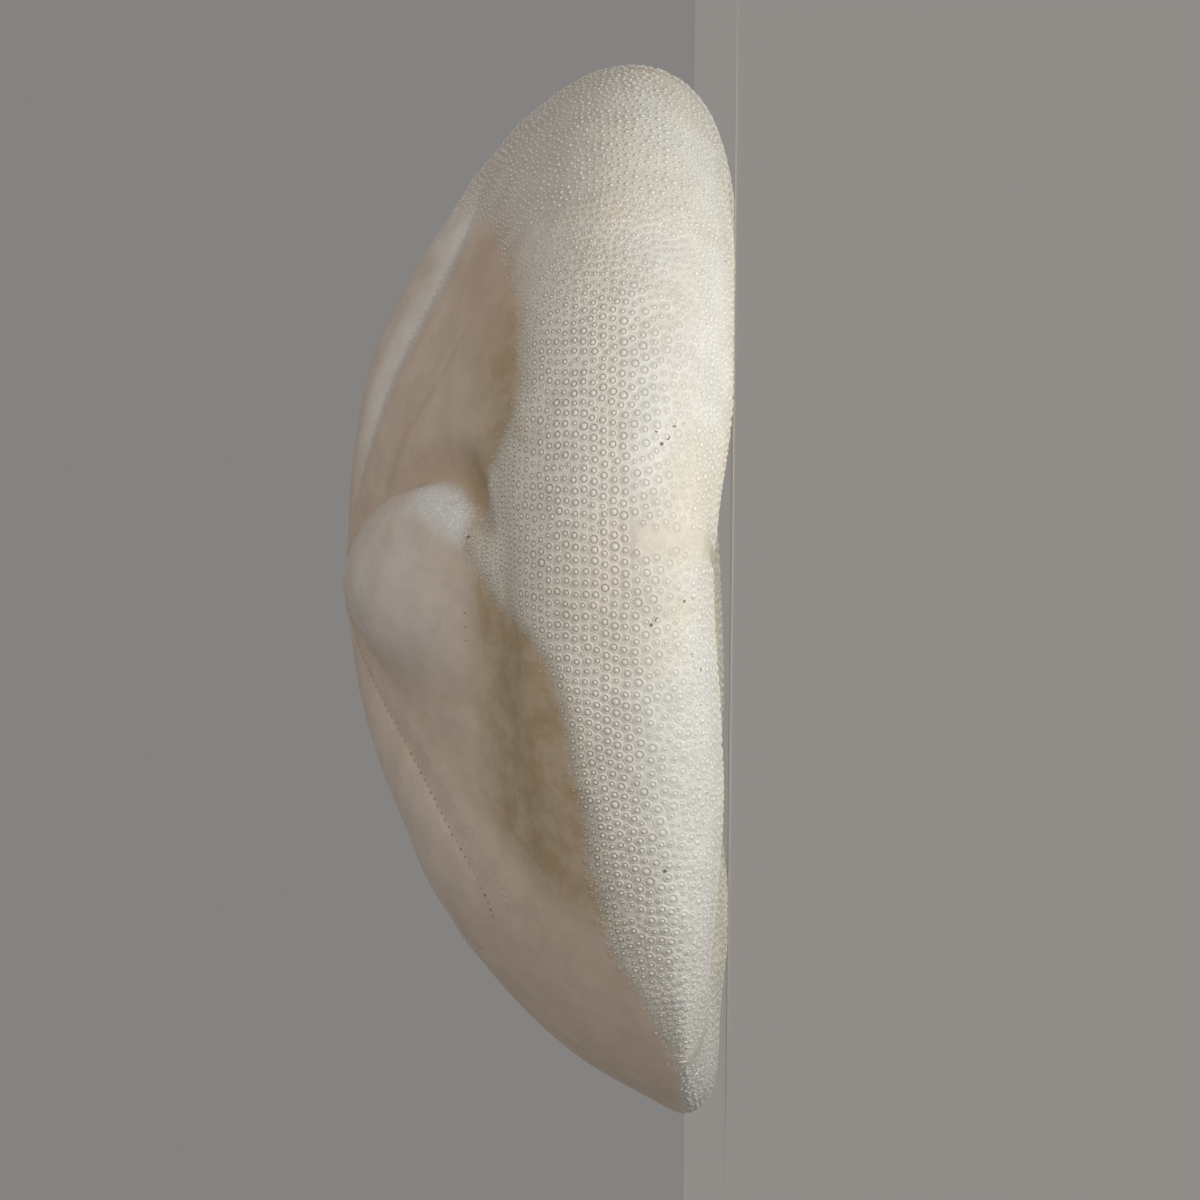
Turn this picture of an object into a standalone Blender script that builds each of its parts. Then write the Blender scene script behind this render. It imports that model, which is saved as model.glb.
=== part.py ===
"""Sea biscuit: the dried shell, or test, of an inflated sand urchin, lying on its mouth side.

The test grew as one piece, so the model is one object. Metres, +Z up, +X towards the front petal.
The surface is swept from the crown (v = 0) over the margin to the mouth pit (v = 1), once round.
"""

import math

import bpy
import numpy as np

# Driving dimensions
MM = 0.001
TEST_LENGTH = 125.0 * MM
TEST_WIDTH = 105.5 * MM
TARGET_TRIANGLES = 9000

# Plan outline: an oval with five soft corners, one at the foot of each petal
MEAN_RADIUS = (TEST_LENGTH + TEST_WIDTH) / 4
OVALNESS = (TEST_LENGTH - TEST_WIDTH) / (TEST_LENGTH + TEST_WIDTH)
CORNER_SHARE = 0.018

# Petals: direction in degrees from +X, length from the crown, half-width and height of the
# swollen middle, and the side on which its end is blunt (1 counterclockwise, -1 clockwise)
PETALS = (
    (0.0, 54.0 * MM, 9.0 * MM, 2.4 * MM, 0),
    (75.0, 39.5 * MM, 12.2 * MM, 3.8 * MM, -1),
    (144.0, 45.0 * MM, 9.6 * MM, 2.1 * MM, 0),
    (216.0, 45.0 * MM, 9.6 * MM, 2.1 * MM, 0),
    (285.0, 39.5 * MM, 12.2 * MM, 3.8 * MM, 1),
)
SECTOR = math.radians(72.0)
PETAL_NECK = 0.4 * MM
PETAL_END_POWER = 8
SWELL_ROUNDNESS = 0.8
PORE_BAND_WIDTH = 4.8 * MM
PORE_BAND_DEPTH = 1.8 * MM
PORE_BAND_END = 3.0 * MM
PORE_BAND_LIFT = 0.4 * MM
SECTOR_EDGE_FADE = 3.5 * MM

# The quiet side is the one away from a blunt one. Its swelling is softer and spreads wider.
QUIET_SIDE_SOFTNESS = 0.9
QUIET_SIDE_SPREAD = 0.35

# Spans over which a petal's parts come up or fade out, in shares of its length or half-width
SWELL_COMES_UP = (0.0, 0.6)
SWELL_RUNS_OUT = (1.12, 0.7)
BLUNT_SIDE_SPAN = (0.0, 0.7)
QUIET_SIDE_SPREADS = (0.2, 0.7)
BAND_WIDENS = (0.0, 0.45)
BAND_DEEPENS = (0.05, 0.5)
BAND_OUTER_SLOPE = (1.2, 0.6)
BAND_INNER_SLOPE = (0.8, 1.1)
BAND_EDGE = (1.3, 0.7)

# Sieve plate: a low round button on the crown
PLATE_RADIUS = 2.3 * MM
PLATE_HEIGHT = 0.25 * MM
PLATE_WALL = (1.25, 0.85)

# Margin: the raised, tuberculate rim. Its inner edge stands a little proud of the smooth upper
# side, at a height in millimetres that changes with the direction in degrees from +X.
MARGIN_STEP = 0.45 * MM
MARGIN_STEP_WIDTH = 3.0 * MM
MARGIN_EDGE = (
    (0, 31.0), (10, 30.2), (19, 28.2), (30, 26.6), (41, 25.6), (51, 25.6), (60, 28.6), (67, 30.4),
    (73, 29.5), (80, 26.6), (87, 21.8), (94, 19.7), (107, 17.4), (126, 14.8), (136, 9.4), (152, 4.6),
    (180, 4.2),
)

# Mouth side: the food furrows, the mouth pit and the vent near the back edge
FURROW_DEPTH = 0.7 * MM
FURROW_HALF_WIDTH = 1.5 * MM
VENT_RADIUS = 1.9 * MM
VENT_DEPTH = 1.6 * MM
VENT_SHARE = 0.87
VENT_WALL = (1.15, 0.7)
FURROW_STARTS = (0.12, 0.25)
FURROW_ENDS = (1.0, 0.8)

# Meridian stations from the crown to the mouth pit. Each row gives the share of the plan
# radius and the height in millimetres at the front, at the side and at the back. The rim's
# base is lifted a little in line with each petal, so the test rests between them.
STATIONS = (
    ((0.00, 45.75), (0.00, 45.75), (0.00, 45.75)),
    ((0.07, 45.55), (0.07, 45.45), (0.07, 45.2)),
    ((0.22, 44.2), (0.22, 43.8), (0.22, 42.5)),
    ((0.45, 40.0), (0.45, 38.8), (0.45, 36.5)),
    ((0.64, 34.1), (0.64, 31.6), (0.64, 32.1)),
    ((0.78, 29.6), (0.78, 26.2), (0.78, 25.4)),
    ((0.89, 24.6), (0.89, 24.2), (0.89, 17.8)),
    ((0.965, 18.6), (0.965, 19.0), (0.965, 9.8)),
    ((1.00, 12.4), (1.00, 11.4), (1.00, 5.0)),
    ((0.975, 5.6), (0.98, 5.6), (0.975, 2.0)),
    ((0.91, 1.9), (0.93, 2.6), (0.92, 1.0)),
    ((0.80, -0.2), (0.84, 1.3), (0.81, 0.7)),
    ((0.66, -0.2), (0.68, 1.2), (0.62, -0.2)),
    ((0.48, 1.8), (0.48, 2.4), (0.46, 1.8)),
    ((0.30, 5.2), (0.30, 5.8), (0.30, 5.2)),
    ((0.16, 10.0), (0.18, 10.5), (0.17, 10.0)),
    ((0.085, 15.5), (0.10, 15.5), (0.09, 15.5)),
    ((0.060, 19.5), (0.07, 19.5), (0.062, 19.5)),
    ((0.00, 21.0), (0.00, 21.0), (0.00, 21.0)),
)
AMBITUS_STATION = 8
BASE_STATIONS = (9, 13)
RIM_LIFT = 1.2 * MM
RIM_LIFT_POWER = 1.5

# How far above and below the widest line the upper and lower relief reach full strength
UPPER_FADE = 0.06
LOWER_FADE = 0.03

# Fine grid that the decimated solid is cut down from
COLUMNS = 300
ROWS = 150
FLAT_SNAP = 0.06 * MM
SMOOTH_ANGLE = math.radians(50.0)


def smooth_step(value, low, high):
    """0 below low, 1 above high, and an S-curve between them."""
    share = np.clip((value - low) / (high - low), 0.0, 1.0)
    return share * share * (3.0 - 2.0 * share)


def plan_radius(angle):
    """Outline of the test seen from above."""
    return MEAN_RADIUS * (1 + OVALNESS * np.cos(2 * angle) + CORNER_SHARE * np.cos(5 * angle))


def side_weights(angle):
    """How much of the front, side and back meridian a direction has. They add up to 1."""
    front = smooth_step(np.cos(angle), 0.0, 1.0)
    back = smooth_step(-np.cos(angle), 0.0, 1.0)
    return np.stack([front, 1.0 - front - back, back])


def spline_matrix(samples, knots):
    """Rows of cubic Hermite weights that turn station values into values along the meridian."""
    count = len(knots)
    slope = np.zeros((count, count))
    for i in range(1, count - 1):
        span = knots[i + 1] - knots[i - 1]
        slope[i, i + 1] = 1.0 / span
        slope[i, i - 1] = -1.0 / span
    first, last = knots[1] - knots[0], knots[-1] - knots[-2]
    slope[0, 0], slope[0, 1] = -1.0 / first, 1.0 / first
    slope[-1, -2], slope[-1, -1] = -1.0 / last, 1.0 / last
    place = np.clip(np.searchsorted(knots, samples, side="right") - 1, 0, count - 2)
    span = knots[place + 1] - knots[place]
    t = ((samples - knots[place]) / span)[:, None]
    unit = np.eye(count)
    return (
        (2 * t**3 - 3 * t**2 + 1) * unit[place]
        + (t**3 - 2 * t**2 + t) * span[:, None] * slope[place]
        + (3 * t**2 - 2 * t**3) * unit[place + 1]
        + (t**3 - t**2) * span[:, None] * slope[place + 1]
    )


def station_knots():
    """Distance along the side meridian at each station, from 0 to 1."""
    side = np.array([row[1] for row in STATIONS]) * np.array([MEAN_RADIUS, MM])
    steps = np.hypot(*np.diff(side, axis=0).T)
    return np.concatenate([[0.0], np.cumsum(steps)]) / steps.sum()


def base_surface(angles, samples):
    """Radius and height of the test without its petals, on a grid of samples by angles."""
    knots = station_knots()
    stations = np.array(STATIONS)
    weights = side_weights(angles)
    share = stations[:, :, 0] @ weights
    height = stations[:, :, 1] @ weights * MM
    lift = np.zeros(len(knots))
    lift[BASE_STATIONS[0] : BASE_STATIONS[1]] = RIM_LIFT
    height = height + lift[:, None] * (0.5 + 0.5 * np.cos(5 * angles)) ** RIM_LIFT_POWER
    weave = spline_matrix(samples, knots)
    radius = (weave @ share) * plan_radius(angles)
    return radius, np.maximum(weave @ height, 0.0)


def petal_frame(x, y):
    """For each point: distance along and across its own petal, and that petal's sizes."""
    angle = np.arctan2(y, x) % (2 * math.pi)
    index = np.round(angle / SECTOR).astype(int) % len(PETALS)
    direction, length, breadth, swell, blunt_side = np.moveaxis(np.array(PETALS)[index], -1, 0)
    turn = np.radians(direction)
    along = x * np.cos(turn) + y * np.sin(turn)
    across = -x * np.sin(turn) + y * np.cos(turn)
    return np.maximum(along, 1e-6), across, length, breadth, swell, blunt_side


def petal_relief(x, y):
    """Height of the swollen petals over the test, with the pore bands beside them.

    The two side petals end in a steep round corner on their front side, where the pore band is
    sunken. Everywhere else the band is lifted a little and the swelling runs out gently. Both
    fade out towards the neighbouring petals.
    """
    along, across, length, breadth, swell, blunt_side = petal_frame(x, y)
    reach = along / length
    blunt = smooth_step(blunt_side * across / breadth, *BLUNT_SIDE_SPAN)
    quiet = np.abs(blunt_side) * (1 - blunt)
    spread = 1 + QUIET_SIDE_SPREAD * quiet * smooth_step(reach, *QUIET_SIDE_SPREADS)
    half = breadth * reach * np.maximum(2 - reach, 1) * spread + PETAL_NECK
    inner = reach**PETAL_END_POWER + (across / half) ** 2
    band = half + PORE_BAND_WIDTH * smooth_step(reach, *BAND_WIDENS)
    outer = (along / (length + PORE_BAND_END)) ** PETAL_END_POWER + (across / band) ** 2
    run_out = smooth_step(reach, *SWELL_RUNS_OUT)
    fade = smooth_step(along * math.tan(SECTOR / 2) - np.abs(across), 0, SECTOR_EDGE_FADE)
    rise = swell * smooth_step(reach, *SWELL_COMES_UP) * (run_out + (1 - run_out) * blunt) * fade
    top = rise * np.clip(1 - inner, 0, 1) ** (SWELL_ROUNDNESS + QUIET_SIDE_SOFTNESS * quiet)
    depth = PORE_BAND_DEPTH * blunt * smooth_step(reach, *BAND_DEEPENS)
    sunk = depth * smooth_step(outer, *BAND_OUTER_SLOPE) * smooth_step(inner, *BAND_INNER_SLOPE)
    lift = PORE_BAND_LIFT * (1 - blunt) * smooth_step(reach, *BAND_DEEPENS) * fade
    return top - sunk + lift * smooth_step(outer, *BAND_EDGE)


def margin_edge(angles):
    """Height of the margin's inner edge in each direction."""
    directions, heights = np.array(MARGIN_EDGE).T
    turned = np.degrees(np.abs((angles + math.pi) % (2 * math.pi) - math.pi))
    return spline_matrix(turned, directions) @ heights * MM


def margin_step(angles, height):
    """Height by which the margin stands proud of the upper side."""
    half = MARGIN_STEP_WIDTH / 2
    return MARGIN_STEP * smooth_step(margin_edge(angles) - height, -half, half)


def mouth_side_relief(x, y, radius_share):
    """Depth of the five food furrows and of the vent, as a lift of the mouth side."""
    angle = np.arctan2(y, x)
    across = np.hypot(x, y) * np.sin(angle - np.round(angle / SECTOR) * SECTOR)
    fade = smooth_step(radius_share, *FURROW_STARTS) * smooth_step(radius_share, *FURROW_ENDS)
    furrow = FURROW_DEPTH * fade * np.exp(-((across / FURROW_HALF_WIDTH) ** 2))
    vent_x = -VENT_SHARE * plan_radius(np.array(math.pi))
    gap = np.hypot(x - vent_x, y)
    vent = VENT_DEPTH * smooth_step(gap / VENT_RADIUS, *VENT_WALL)
    return furrow + vent


def surface_normals(points):
    """Outward unit normals of a grid of points that closes round its second axis."""
    down = np.gradient(points, axis=0)
    wrapped = np.concatenate([points[:, -1:], points, points[:, :1]], axis=1)
    around = np.gradient(wrapped, axis=1)[:, 1:-1]
    normal = np.cross(down, around)
    return normal / np.maximum(np.linalg.norm(normal, axis=2, keepdims=True), 1e-12)


def test_surface(columns, rows):
    """Grid of points over the whole test, from the ring round the crown to the mouth pit."""
    angles = np.linspace(0, 2 * math.pi, columns, endpoint=False)
    samples = np.linspace(0, 1, rows + 2)[1:-1]
    radius, height = base_surface(angles, samples)
    points = np.stack([radius * np.cos(angles), radius * np.sin(angles), height], axis=2)
    x, y = points[..., 0], points[..., 1]
    ambitus = station_knots()[AMBITUS_STATION]
    upper = smooth_step(samples, ambitus, ambitus - UPPER_FADE)[:, None]
    normal = surface_normals(points)
    plate = PLATE_HEIGHT * smooth_step(radius / PLATE_RADIUS, *PLATE_WALL)
    relief = petal_relief(x, y) + margin_step(angles, height) + plate
    points = points + normal * (relief * upper)[..., None]
    lower = smooth_step(samples, ambitus, ambitus + LOWER_FADE)[:, None]
    points[..., 2] += mouth_side_relief(x, y, radius / plan_radius(angles)) * lower
    return points


def grid_mesh(name, points, top, bottom):
    """Closed mesh from the grid, with a pole at each end."""
    rows, columns, _ = points.shape
    vertices = np.concatenate([points.reshape(-1, 3), [top, bottom]])
    index = np.arange(rows * columns).reshape(rows, columns)
    nxt = np.roll(index, -1, axis=1)
    quads = np.stack([index[:-1], index[1:], nxt[1:], nxt[:-1]], axis=2).reshape(-1, 4)
    top_fan = np.stack([np.full(columns, rows * columns), index[0], nxt[0]], axis=1)
    bottom_fan = np.stack([np.full(columns, rows * columns + 1), nxt[-1], index[-1]], axis=1)
    faces = quads.tolist() + top_fan.tolist() + bottom_fan.tolist()
    mesh = bpy.data.meshes.new(name)
    mesh.from_pydata(vertices.tolist(), [], faces)
    mesh.update()
    return mesh


def thinned(obj, target):
    """Decimates the object to about target triangles and snaps its resting lands flat."""
    thin = obj.modifiers.new("thin", "DECIMATE")
    thin.decimate_type = "COLLAPSE"
    obj.data.calc_loop_triangles()
    thin.ratio = target / len(obj.data.loop_triangles)
    thin.use_collapse_triangulate = True
    graph = bpy.context.evaluated_depsgraph_get()
    mesh = bpy.data.meshes.new_from_object(obj.evaluated_get(graph))
    obj.modifiers.clear()
    obj.data = mesh
    mesh.name = obj.name
    for vertex in mesh.vertices:
        if vertex.co.z < FLAT_SNAP:
            vertex.co.z = 0.0


def shell_material():
    """Bleached, chalky calcite."""
    material = bpy.data.materials.new("shell")
    material.use_nodes = True
    shader = material.node_tree.nodes["Principled BSDF"]
    shader.inputs["Base Color"].default_value = (0.66, 0.58, 0.47, 1.0)
    shader.inputs["Roughness"].default_value = 0.7
    shader.inputs["Metallic"].default_value = 0.0
    return material


def build_test():
    """The whole test as one object, centred over its resting plane."""
    points = test_surface(COLUMNS, ROWS)
    top = [0.0, 0.0, points[0, :, 2].mean()]
    bottom = [0.0, 0.0, points[-1, :, 2].mean()]
    middle = (points[..., 0].min() + points[..., 0].max()) / 2
    points[..., 0] -= middle
    top[0] -= middle
    bottom[0] -= middle
    test = bpy.data.objects.new("test", grid_mesh("test", points, top, bottom))
    bpy.context.scene.collection.objects.link(test)
    thinned(test, TARGET_TRIANGLES)
    test.data.materials.append(shell_material())
    test.data.shade_smooth()
    test.data.set_sharp_from_angle(angle=SMOOTH_ANGLE)
    return test


for old in list(bpy.data.objects):
    bpy.data.objects.remove(old)
build_test()
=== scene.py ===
"""Looks of the sea biscuit: the dried test of an inflated sand urchin on a pale studio floor.

The fine skin repeats the form of the solid, a surface of two parameters: the direction round the
crown and the place on the meridian, from the crown (0) over the margin to the mouth pit (1).
Tubercles, pores and small blemishes are little turned patches laid on that surface.
"""

import logging
import math
from dataclasses import dataclass, fields, replace
from enum import Enum

import bpy
import numpy as np
from mathutils import Matrix, Vector


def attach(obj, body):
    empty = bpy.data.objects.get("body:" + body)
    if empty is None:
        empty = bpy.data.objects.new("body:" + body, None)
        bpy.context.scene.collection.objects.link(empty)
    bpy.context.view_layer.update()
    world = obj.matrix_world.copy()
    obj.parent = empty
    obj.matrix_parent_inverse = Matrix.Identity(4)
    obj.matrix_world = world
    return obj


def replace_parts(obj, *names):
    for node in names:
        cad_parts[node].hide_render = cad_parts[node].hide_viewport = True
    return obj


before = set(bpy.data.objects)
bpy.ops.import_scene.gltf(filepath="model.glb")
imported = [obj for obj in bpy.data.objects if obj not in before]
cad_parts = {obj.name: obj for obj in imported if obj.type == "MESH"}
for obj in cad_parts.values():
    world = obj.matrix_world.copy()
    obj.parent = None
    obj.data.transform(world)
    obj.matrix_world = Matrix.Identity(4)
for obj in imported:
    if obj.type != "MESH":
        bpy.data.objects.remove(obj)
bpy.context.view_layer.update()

MM = 0.001
TURN = 2 * math.pi
NODE = "test"
BODY = "root"

# Places of the colour sockets on Blender's Mix node
MIX_A = 6
MIX_B = 7
MIX_RESULT = 2

log = logging.getLogger("sea_biscuit")

Array = np.ndarray


def smooth_step(value: Array, low: float, high: float) -> Array:
    """0 below low, 1 above high, and the curve 3t^2 - 2t^3 between them.

    Args:
        value: The numbers to grade.
        low: Where the curve starts.
        high: Where the curve ends. It may be less than low, for a falling curve.

    Returns:
        Numbers from 0 to 1 in the shape of value.
    """
    share = np.clip((value - low) / (high - low), 0.0, 1.0)
    return share * share * (3.0 - 2.0 * share)


def bell(value: Array, width: float) -> Array:
    """Gaussian bump exp(-(value / width)^2), 1 at 0."""
    return np.exp(-((value / width) ** 2))


def waves(angle: Array, height: Array, seed: int, octaves: int = 5) -> Array:
    """Smooth unevenness round the test: a sum of sine waves of rising frequency.

    Args:
        angle: Directions in radians.
        height: Heights in metres, which turn the waves so that they don't stand in line.
        seed: Number that sets the phases.
        octaves: How many waves are added.

    Returns:
        Values of about -1 to 1.
    """
    phases = np.random.default_rng(seed).uniform(0, TURN, (octaves, 2))
    total = np.zeros(np.broadcast(angle, height).shape)
    for k in range(octaves):
        turns = 3 + 2 * k * k + k
        lean = (0.25 + 0.3 * k) / MM
        sway = np.sin(lean * height / 4 + phases[k, 1])
        total = total + np.sin(turns * angle + phases[k, 0] + sway) / (k + 1.5)
    return total / 1.6


def hermite_weights(samples: Array, knots: Array) -> Array:
    """Weights of a cubic Hermite curve through evenly or unevenly spaced knots.

    The slope at a knot is the difference of its neighbours over their distance.

    Args:
        samples: Places at which the curve is read.
        knots: Rising places of the given values.

    Returns:
        One row of weights for each sample, one column for each knot.
    """
    count = len(knots)
    slope = np.zeros((count, count))
    inside = np.arange(1, count - 1)
    span = knots[2:] - knots[:-2]
    slope[inside, inside + 1] = 1.0 / span
    slope[inside, inside - 1] = -1.0 / span
    first, last = knots[1] - knots[0], knots[-1] - knots[-2]
    slope[0, 0], slope[0, 1] = -1.0 / first, 1.0 / first
    slope[-1, -2], slope[-1, -1] = -1.0 / last, 1.0 / last
    place = np.clip(np.searchsorted(knots, samples, side="right") - 1, 0, count - 2)
    span = knots[place + 1] - knots[place]
    t = ((samples - knots[place]) / span)[:, None]
    unit = np.eye(count)
    return (
        (2 * t**3 - 3 * t**2 + 1) * unit[place]
        + (t**3 - 2 * t**2 + t) * span[:, None] * slope[place]
        + (3 * t**2 - 2 * t**3) * unit[place + 1]
        + (t**3 - t**2) * span[:, None] * slope[place + 1]
    )


@dataclass(frozen=True)
class TestForm:
    """The form of the test, with the same sizes as the solid."""

    length: float = 125.0 * MM
    width: float = 105.5 * MM
    corner_share: float = 0.018

    # Petals: direction in degrees, length, half-width, swelling and blunt side
    petals: tuple = (
        (0.0, 54.0 * MM, 9.0 * MM, 2.4 * MM, 0),
        (75.0, 39.5 * MM, 12.2 * MM, 3.8 * MM, -1),
        (144.0, 45.0 * MM, 9.6 * MM, 2.1 * MM, 0),
        (216.0, 45.0 * MM, 9.6 * MM, 2.1 * MM, 0),
        (285.0, 39.5 * MM, 12.2 * MM, 3.8 * MM, 1),
    )
    sector: float = math.radians(72.0)
    neck: float = 0.4 * MM
    end_power: float = 8
    roundness: float = 0.8
    softness: float = 0.9
    spread: float = 0.35
    band_width: float = 4.8 * MM
    band_depth: float = 1.8 * MM
    band_end: float = 3.0 * MM
    band_lift: float = 0.4 * MM
    sector_fade: float = 3.5 * MM

    # Margin's step, and the height in millimetres of its inner edge by direction in degrees
    step: float = 0.45 * MM
    step_width: float = 3.0 * MM
    edge: tuple = (
        (0, 31.0), (10, 30.2), (19, 28.2), (30, 26.6), (41, 25.6), (51, 25.6), (60, 28.6),
        (67, 30.4), (73, 29.5), (80, 26.6), (87, 21.8), (94, 19.7), (107, 17.4), (126, 14.8),
        (136, 9.4), (152, 4.6), (180, 4.2),
    )

    furrow_depth: float = 0.7 * MM
    furrow_half_width: float = 1.5 * MM
    vent_radius: float = 1.9 * MM
    vent_depth: float = 1.6 * MM
    vent_share: float = 0.87

    # Share of the plan radius and height in millimetres at the front, the side and the back
    stations: tuple = (
        ((0.00, 45.75), (0.00, 45.75), (0.00, 45.75)),
        ((0.07, 45.55), (0.07, 45.45), (0.07, 45.2)),
        ((0.22, 44.2), (0.22, 43.8), (0.22, 42.5)),
        ((0.45, 40.0), (0.45, 38.8), (0.45, 36.5)),
        ((0.64, 34.1), (0.64, 31.6), (0.64, 32.1)),
        ((0.78, 29.6), (0.78, 26.2), (0.78, 25.4)),
        ((0.89, 24.6), (0.89, 24.2), (0.89, 17.8)),
        ((0.965, 18.6), (0.965, 19.0), (0.965, 9.8)),
        ((1.00, 12.4), (1.00, 11.4), (1.00, 5.0)),
        ((0.975, 5.6), (0.98, 5.6), (0.975, 2.0)),
        ((0.91, 1.9), (0.93, 2.6), (0.92, 1.0)),
        ((0.80, -0.2), (0.84, 1.3), (0.81, 0.7)),
        ((0.66, -0.2), (0.68, 1.2), (0.62, -0.2)),
        ((0.48, 1.8), (0.48, 2.4), (0.46, 1.8)),
        ((0.30, 5.2), (0.30, 5.8), (0.30, 5.2)),
        ((0.16, 10.0), (0.18, 10.5), (0.17, 10.0)),
        ((0.085, 15.5), (0.10, 15.5), (0.09, 15.5)),
        ((0.060, 19.5), (0.07, 19.5), (0.062, 19.5)),
        ((0.00, 21.0), (0.00, 21.0), (0.00, 21.0)),
    )
    ambitus_station: int = 8
    base_stations: tuple = (9, 13)
    rim_lift: float = 1.2 * MM
    rim_lift_power: float = 1.5
    upper_fade: float = 0.06
    lower_fade: float = 0.03

    plate_radius: float = 2.3 * MM
    plate_height: float = 0.25 * MM

    # What only the fine skin has: it lies this much lower where the tubercles stand, and the
    # valleys between the petals are rounded over so many columns and so far from their middle
    tubercle_room: float = 0.22 * MM
    ease_columns: int = 7
    ease_width: float = 7.0 * MM
    ease_reach: tuple = (0.25, 0.5)

    @property
    def mean_radius(self) -> float:
        """Radius of the circle that the plan outline is bent from."""
        return (self.length + self.width) / 4

    def plan_radius(self, angle: Array) -> Array:
        """Outline from above: mean radius times 1 + oval * cos 2a + corners * cos 5a."""
        oval = (self.length - self.width) / (self.length + self.width)
        bent = 1 + oval * np.cos(2 * angle) + self.corner_share * np.cos(5 * angle)
        return self.mean_radius * bent

    def knots(self) -> Array:
        """Place of each station on the side meridian, as a share of its length."""
        side = np.array([row[1] for row in self.stations]) * np.array([self.mean_radius, MM])
        steps = np.hypot(*np.diff(side, axis=0).T)
        return np.concatenate([[0.0], np.cumsum(steps)]) / steps.sum()

    def ambitus(self) -> float:
        """Place of the widest line on the meridian."""
        return float(self.knots()[self.ambitus_station])

    def base_surface(self, angles: Array, samples: Array) -> tuple[Array, Array]:
        """The test without petals: a Hermite meridian, blended between front, side and back.

        Args:
            angles: Directions in radians.
            samples: Places on the meridian.

        Returns:
            Radius and height on a grid of samples by angles.
        """
        knots = self.knots()
        stations = np.array(self.stations)
        front = smooth_step(np.cos(angles), 0.0, 1.0)
        back = smooth_step(-np.cos(angles), 0.0, 1.0)
        weights = np.stack([front, 1.0 - front - back, back])
        share = stations[:, :, 0] @ weights
        height = stations[:, :, 1] @ weights * MM
        lift = np.zeros(len(knots))
        lift[self.base_stations[0] : self.base_stations[1]] = self.rim_lift
        height = height + lift[:, None] * (0.5 + 0.5 * np.cos(5 * angles)) ** self.rim_lift_power
        weave = hermite_weights(samples, knots)
        return (weave @ share) * self.plan_radius(angles), np.maximum(weave @ height, 0.0)

    def petal_half(self, reach: Array, breadth: Array, quiet: Array) -> Array:
        """Half-width of a petal's swelling: breadth * reach * (2 - reach) plus the neck's.

        Args:
            reach: Distance along the petal as a share of its length.
            breadth: The petal's own half-width.
            quiet: 1 on the side away from a blunt one, which spreads wider, and 0 elsewhere.

        Returns:
            The half-width.
        """
        spread = 1 + self.spread * quiet * smooth_step(reach, 0.2, 0.7)
        return breadth * reach * np.maximum(2 - reach, 1) * spread + self.neck

    def petal_parts(self, x: Array, y: Array) -> dict[str, Array]:
        """Swelling and pore bands of the nearest petal at each point of the plan.

        The swollen middle is where inner = reach^8 + (across / half-width)^2 is under 1, and
        it rises as (1 - inner)^0.8, or to a higher power on the side away from a blunt one. The
        bands lie between that line and the same form of the wider line, outer = 1. They are
        sunken on the blunt side and lifted on the others. Swelling and lift fade out towards
        the sector's edges.

        Args:
            x: Distance towards the front from the crown's axis.
            y: Distance towards the left.

        Returns:
            The heights "swell" and "lift", the depth "sunk", the shares "raised", "band" and
            "blunt", the "half" width, the coordinates "along", "reach", "across" and "inner",
            and "off_edge", the distance from the sector's edge.
        """
        angle = np.arctan2(y, x) % TURN
        index = np.round(angle / self.sector).astype(int) % len(self.petals)
        direction, length, breadth, height, side = np.moveaxis(np.array(self.petals)[index], -1, 0)
        turn = np.radians(direction)
        along = np.maximum(x * np.cos(turn) + y * np.sin(turn), 1e-6)
        across = -x * np.sin(turn) + y * np.cos(turn)
        reach = along / length
        blunt = smooth_step(side * across / breadth, 0.0, 0.7)
        quiet = np.abs(side) * (1 - blunt)
        half = self.petal_half(reach, breadth, quiet)
        inner = reach**self.end_power + (across / half) ** 2
        band = half + self.band_width * smooth_step(reach, 0.0, 0.45)
        outer = (along / (length + self.band_end)) ** self.end_power + (across / band) ** 2
        run_out = smooth_step(reach, 1.12, 0.7)
        off_edge = along * math.tan(self.sector / 2) - np.abs(across)
        fade = smooth_step(off_edge, 0.0, self.sector_fade)
        rise = smooth_step(reach, 0.0, 0.6) * (run_out + (1 - run_out) * blunt) * fade
        raised = rise * np.clip(1 - inner, 0, 1) ** (self.roundness + self.softness * quiet)
        beside = smooth_step(np.abs(across) / breadth, 0.25, 0.85) * smooth_step(reach, 1.1, 0.8)
        comes_up = smooth_step(reach, 0.05, 0.5)
        ring = smooth_step(outer, 1.2, 0.6) * smooth_step(inner, 0.8, 1.1) * comes_up
        return {
            "swell": height * raised,
            "sunk": self.band_depth * blunt * ring,
            "lift": self.band_lift * (1 - blunt) * comes_up * smooth_step(outer, 1.3, 0.7) * fade,
            "raised": raised,
            "band": ring * np.maximum(beside, blunt),
            "blunt": blunt,
            "half": half,
            "along": along,
            "reach": reach,
            "across": across,
            "inner": inner,
            "off_edge": off_edge,
        }

    def edge_height(self, angles: Array) -> Array:
        """Height of the margin's inner edge in each direction."""
        directions, heights = np.array(self.edge).T
        turned = np.degrees(np.abs((angles + math.pi) % TURN - math.pi))
        return hermite_weights(turned, directions) @ heights * MM

    def margin_step(self, angles: Array, height: Array) -> Array:
        """How far the margin stands proud of the smooth upper side."""
        half = self.step_width / 2
        return self.step * smooth_step(self.edge_height(angles) - height, -half, half)

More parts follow.
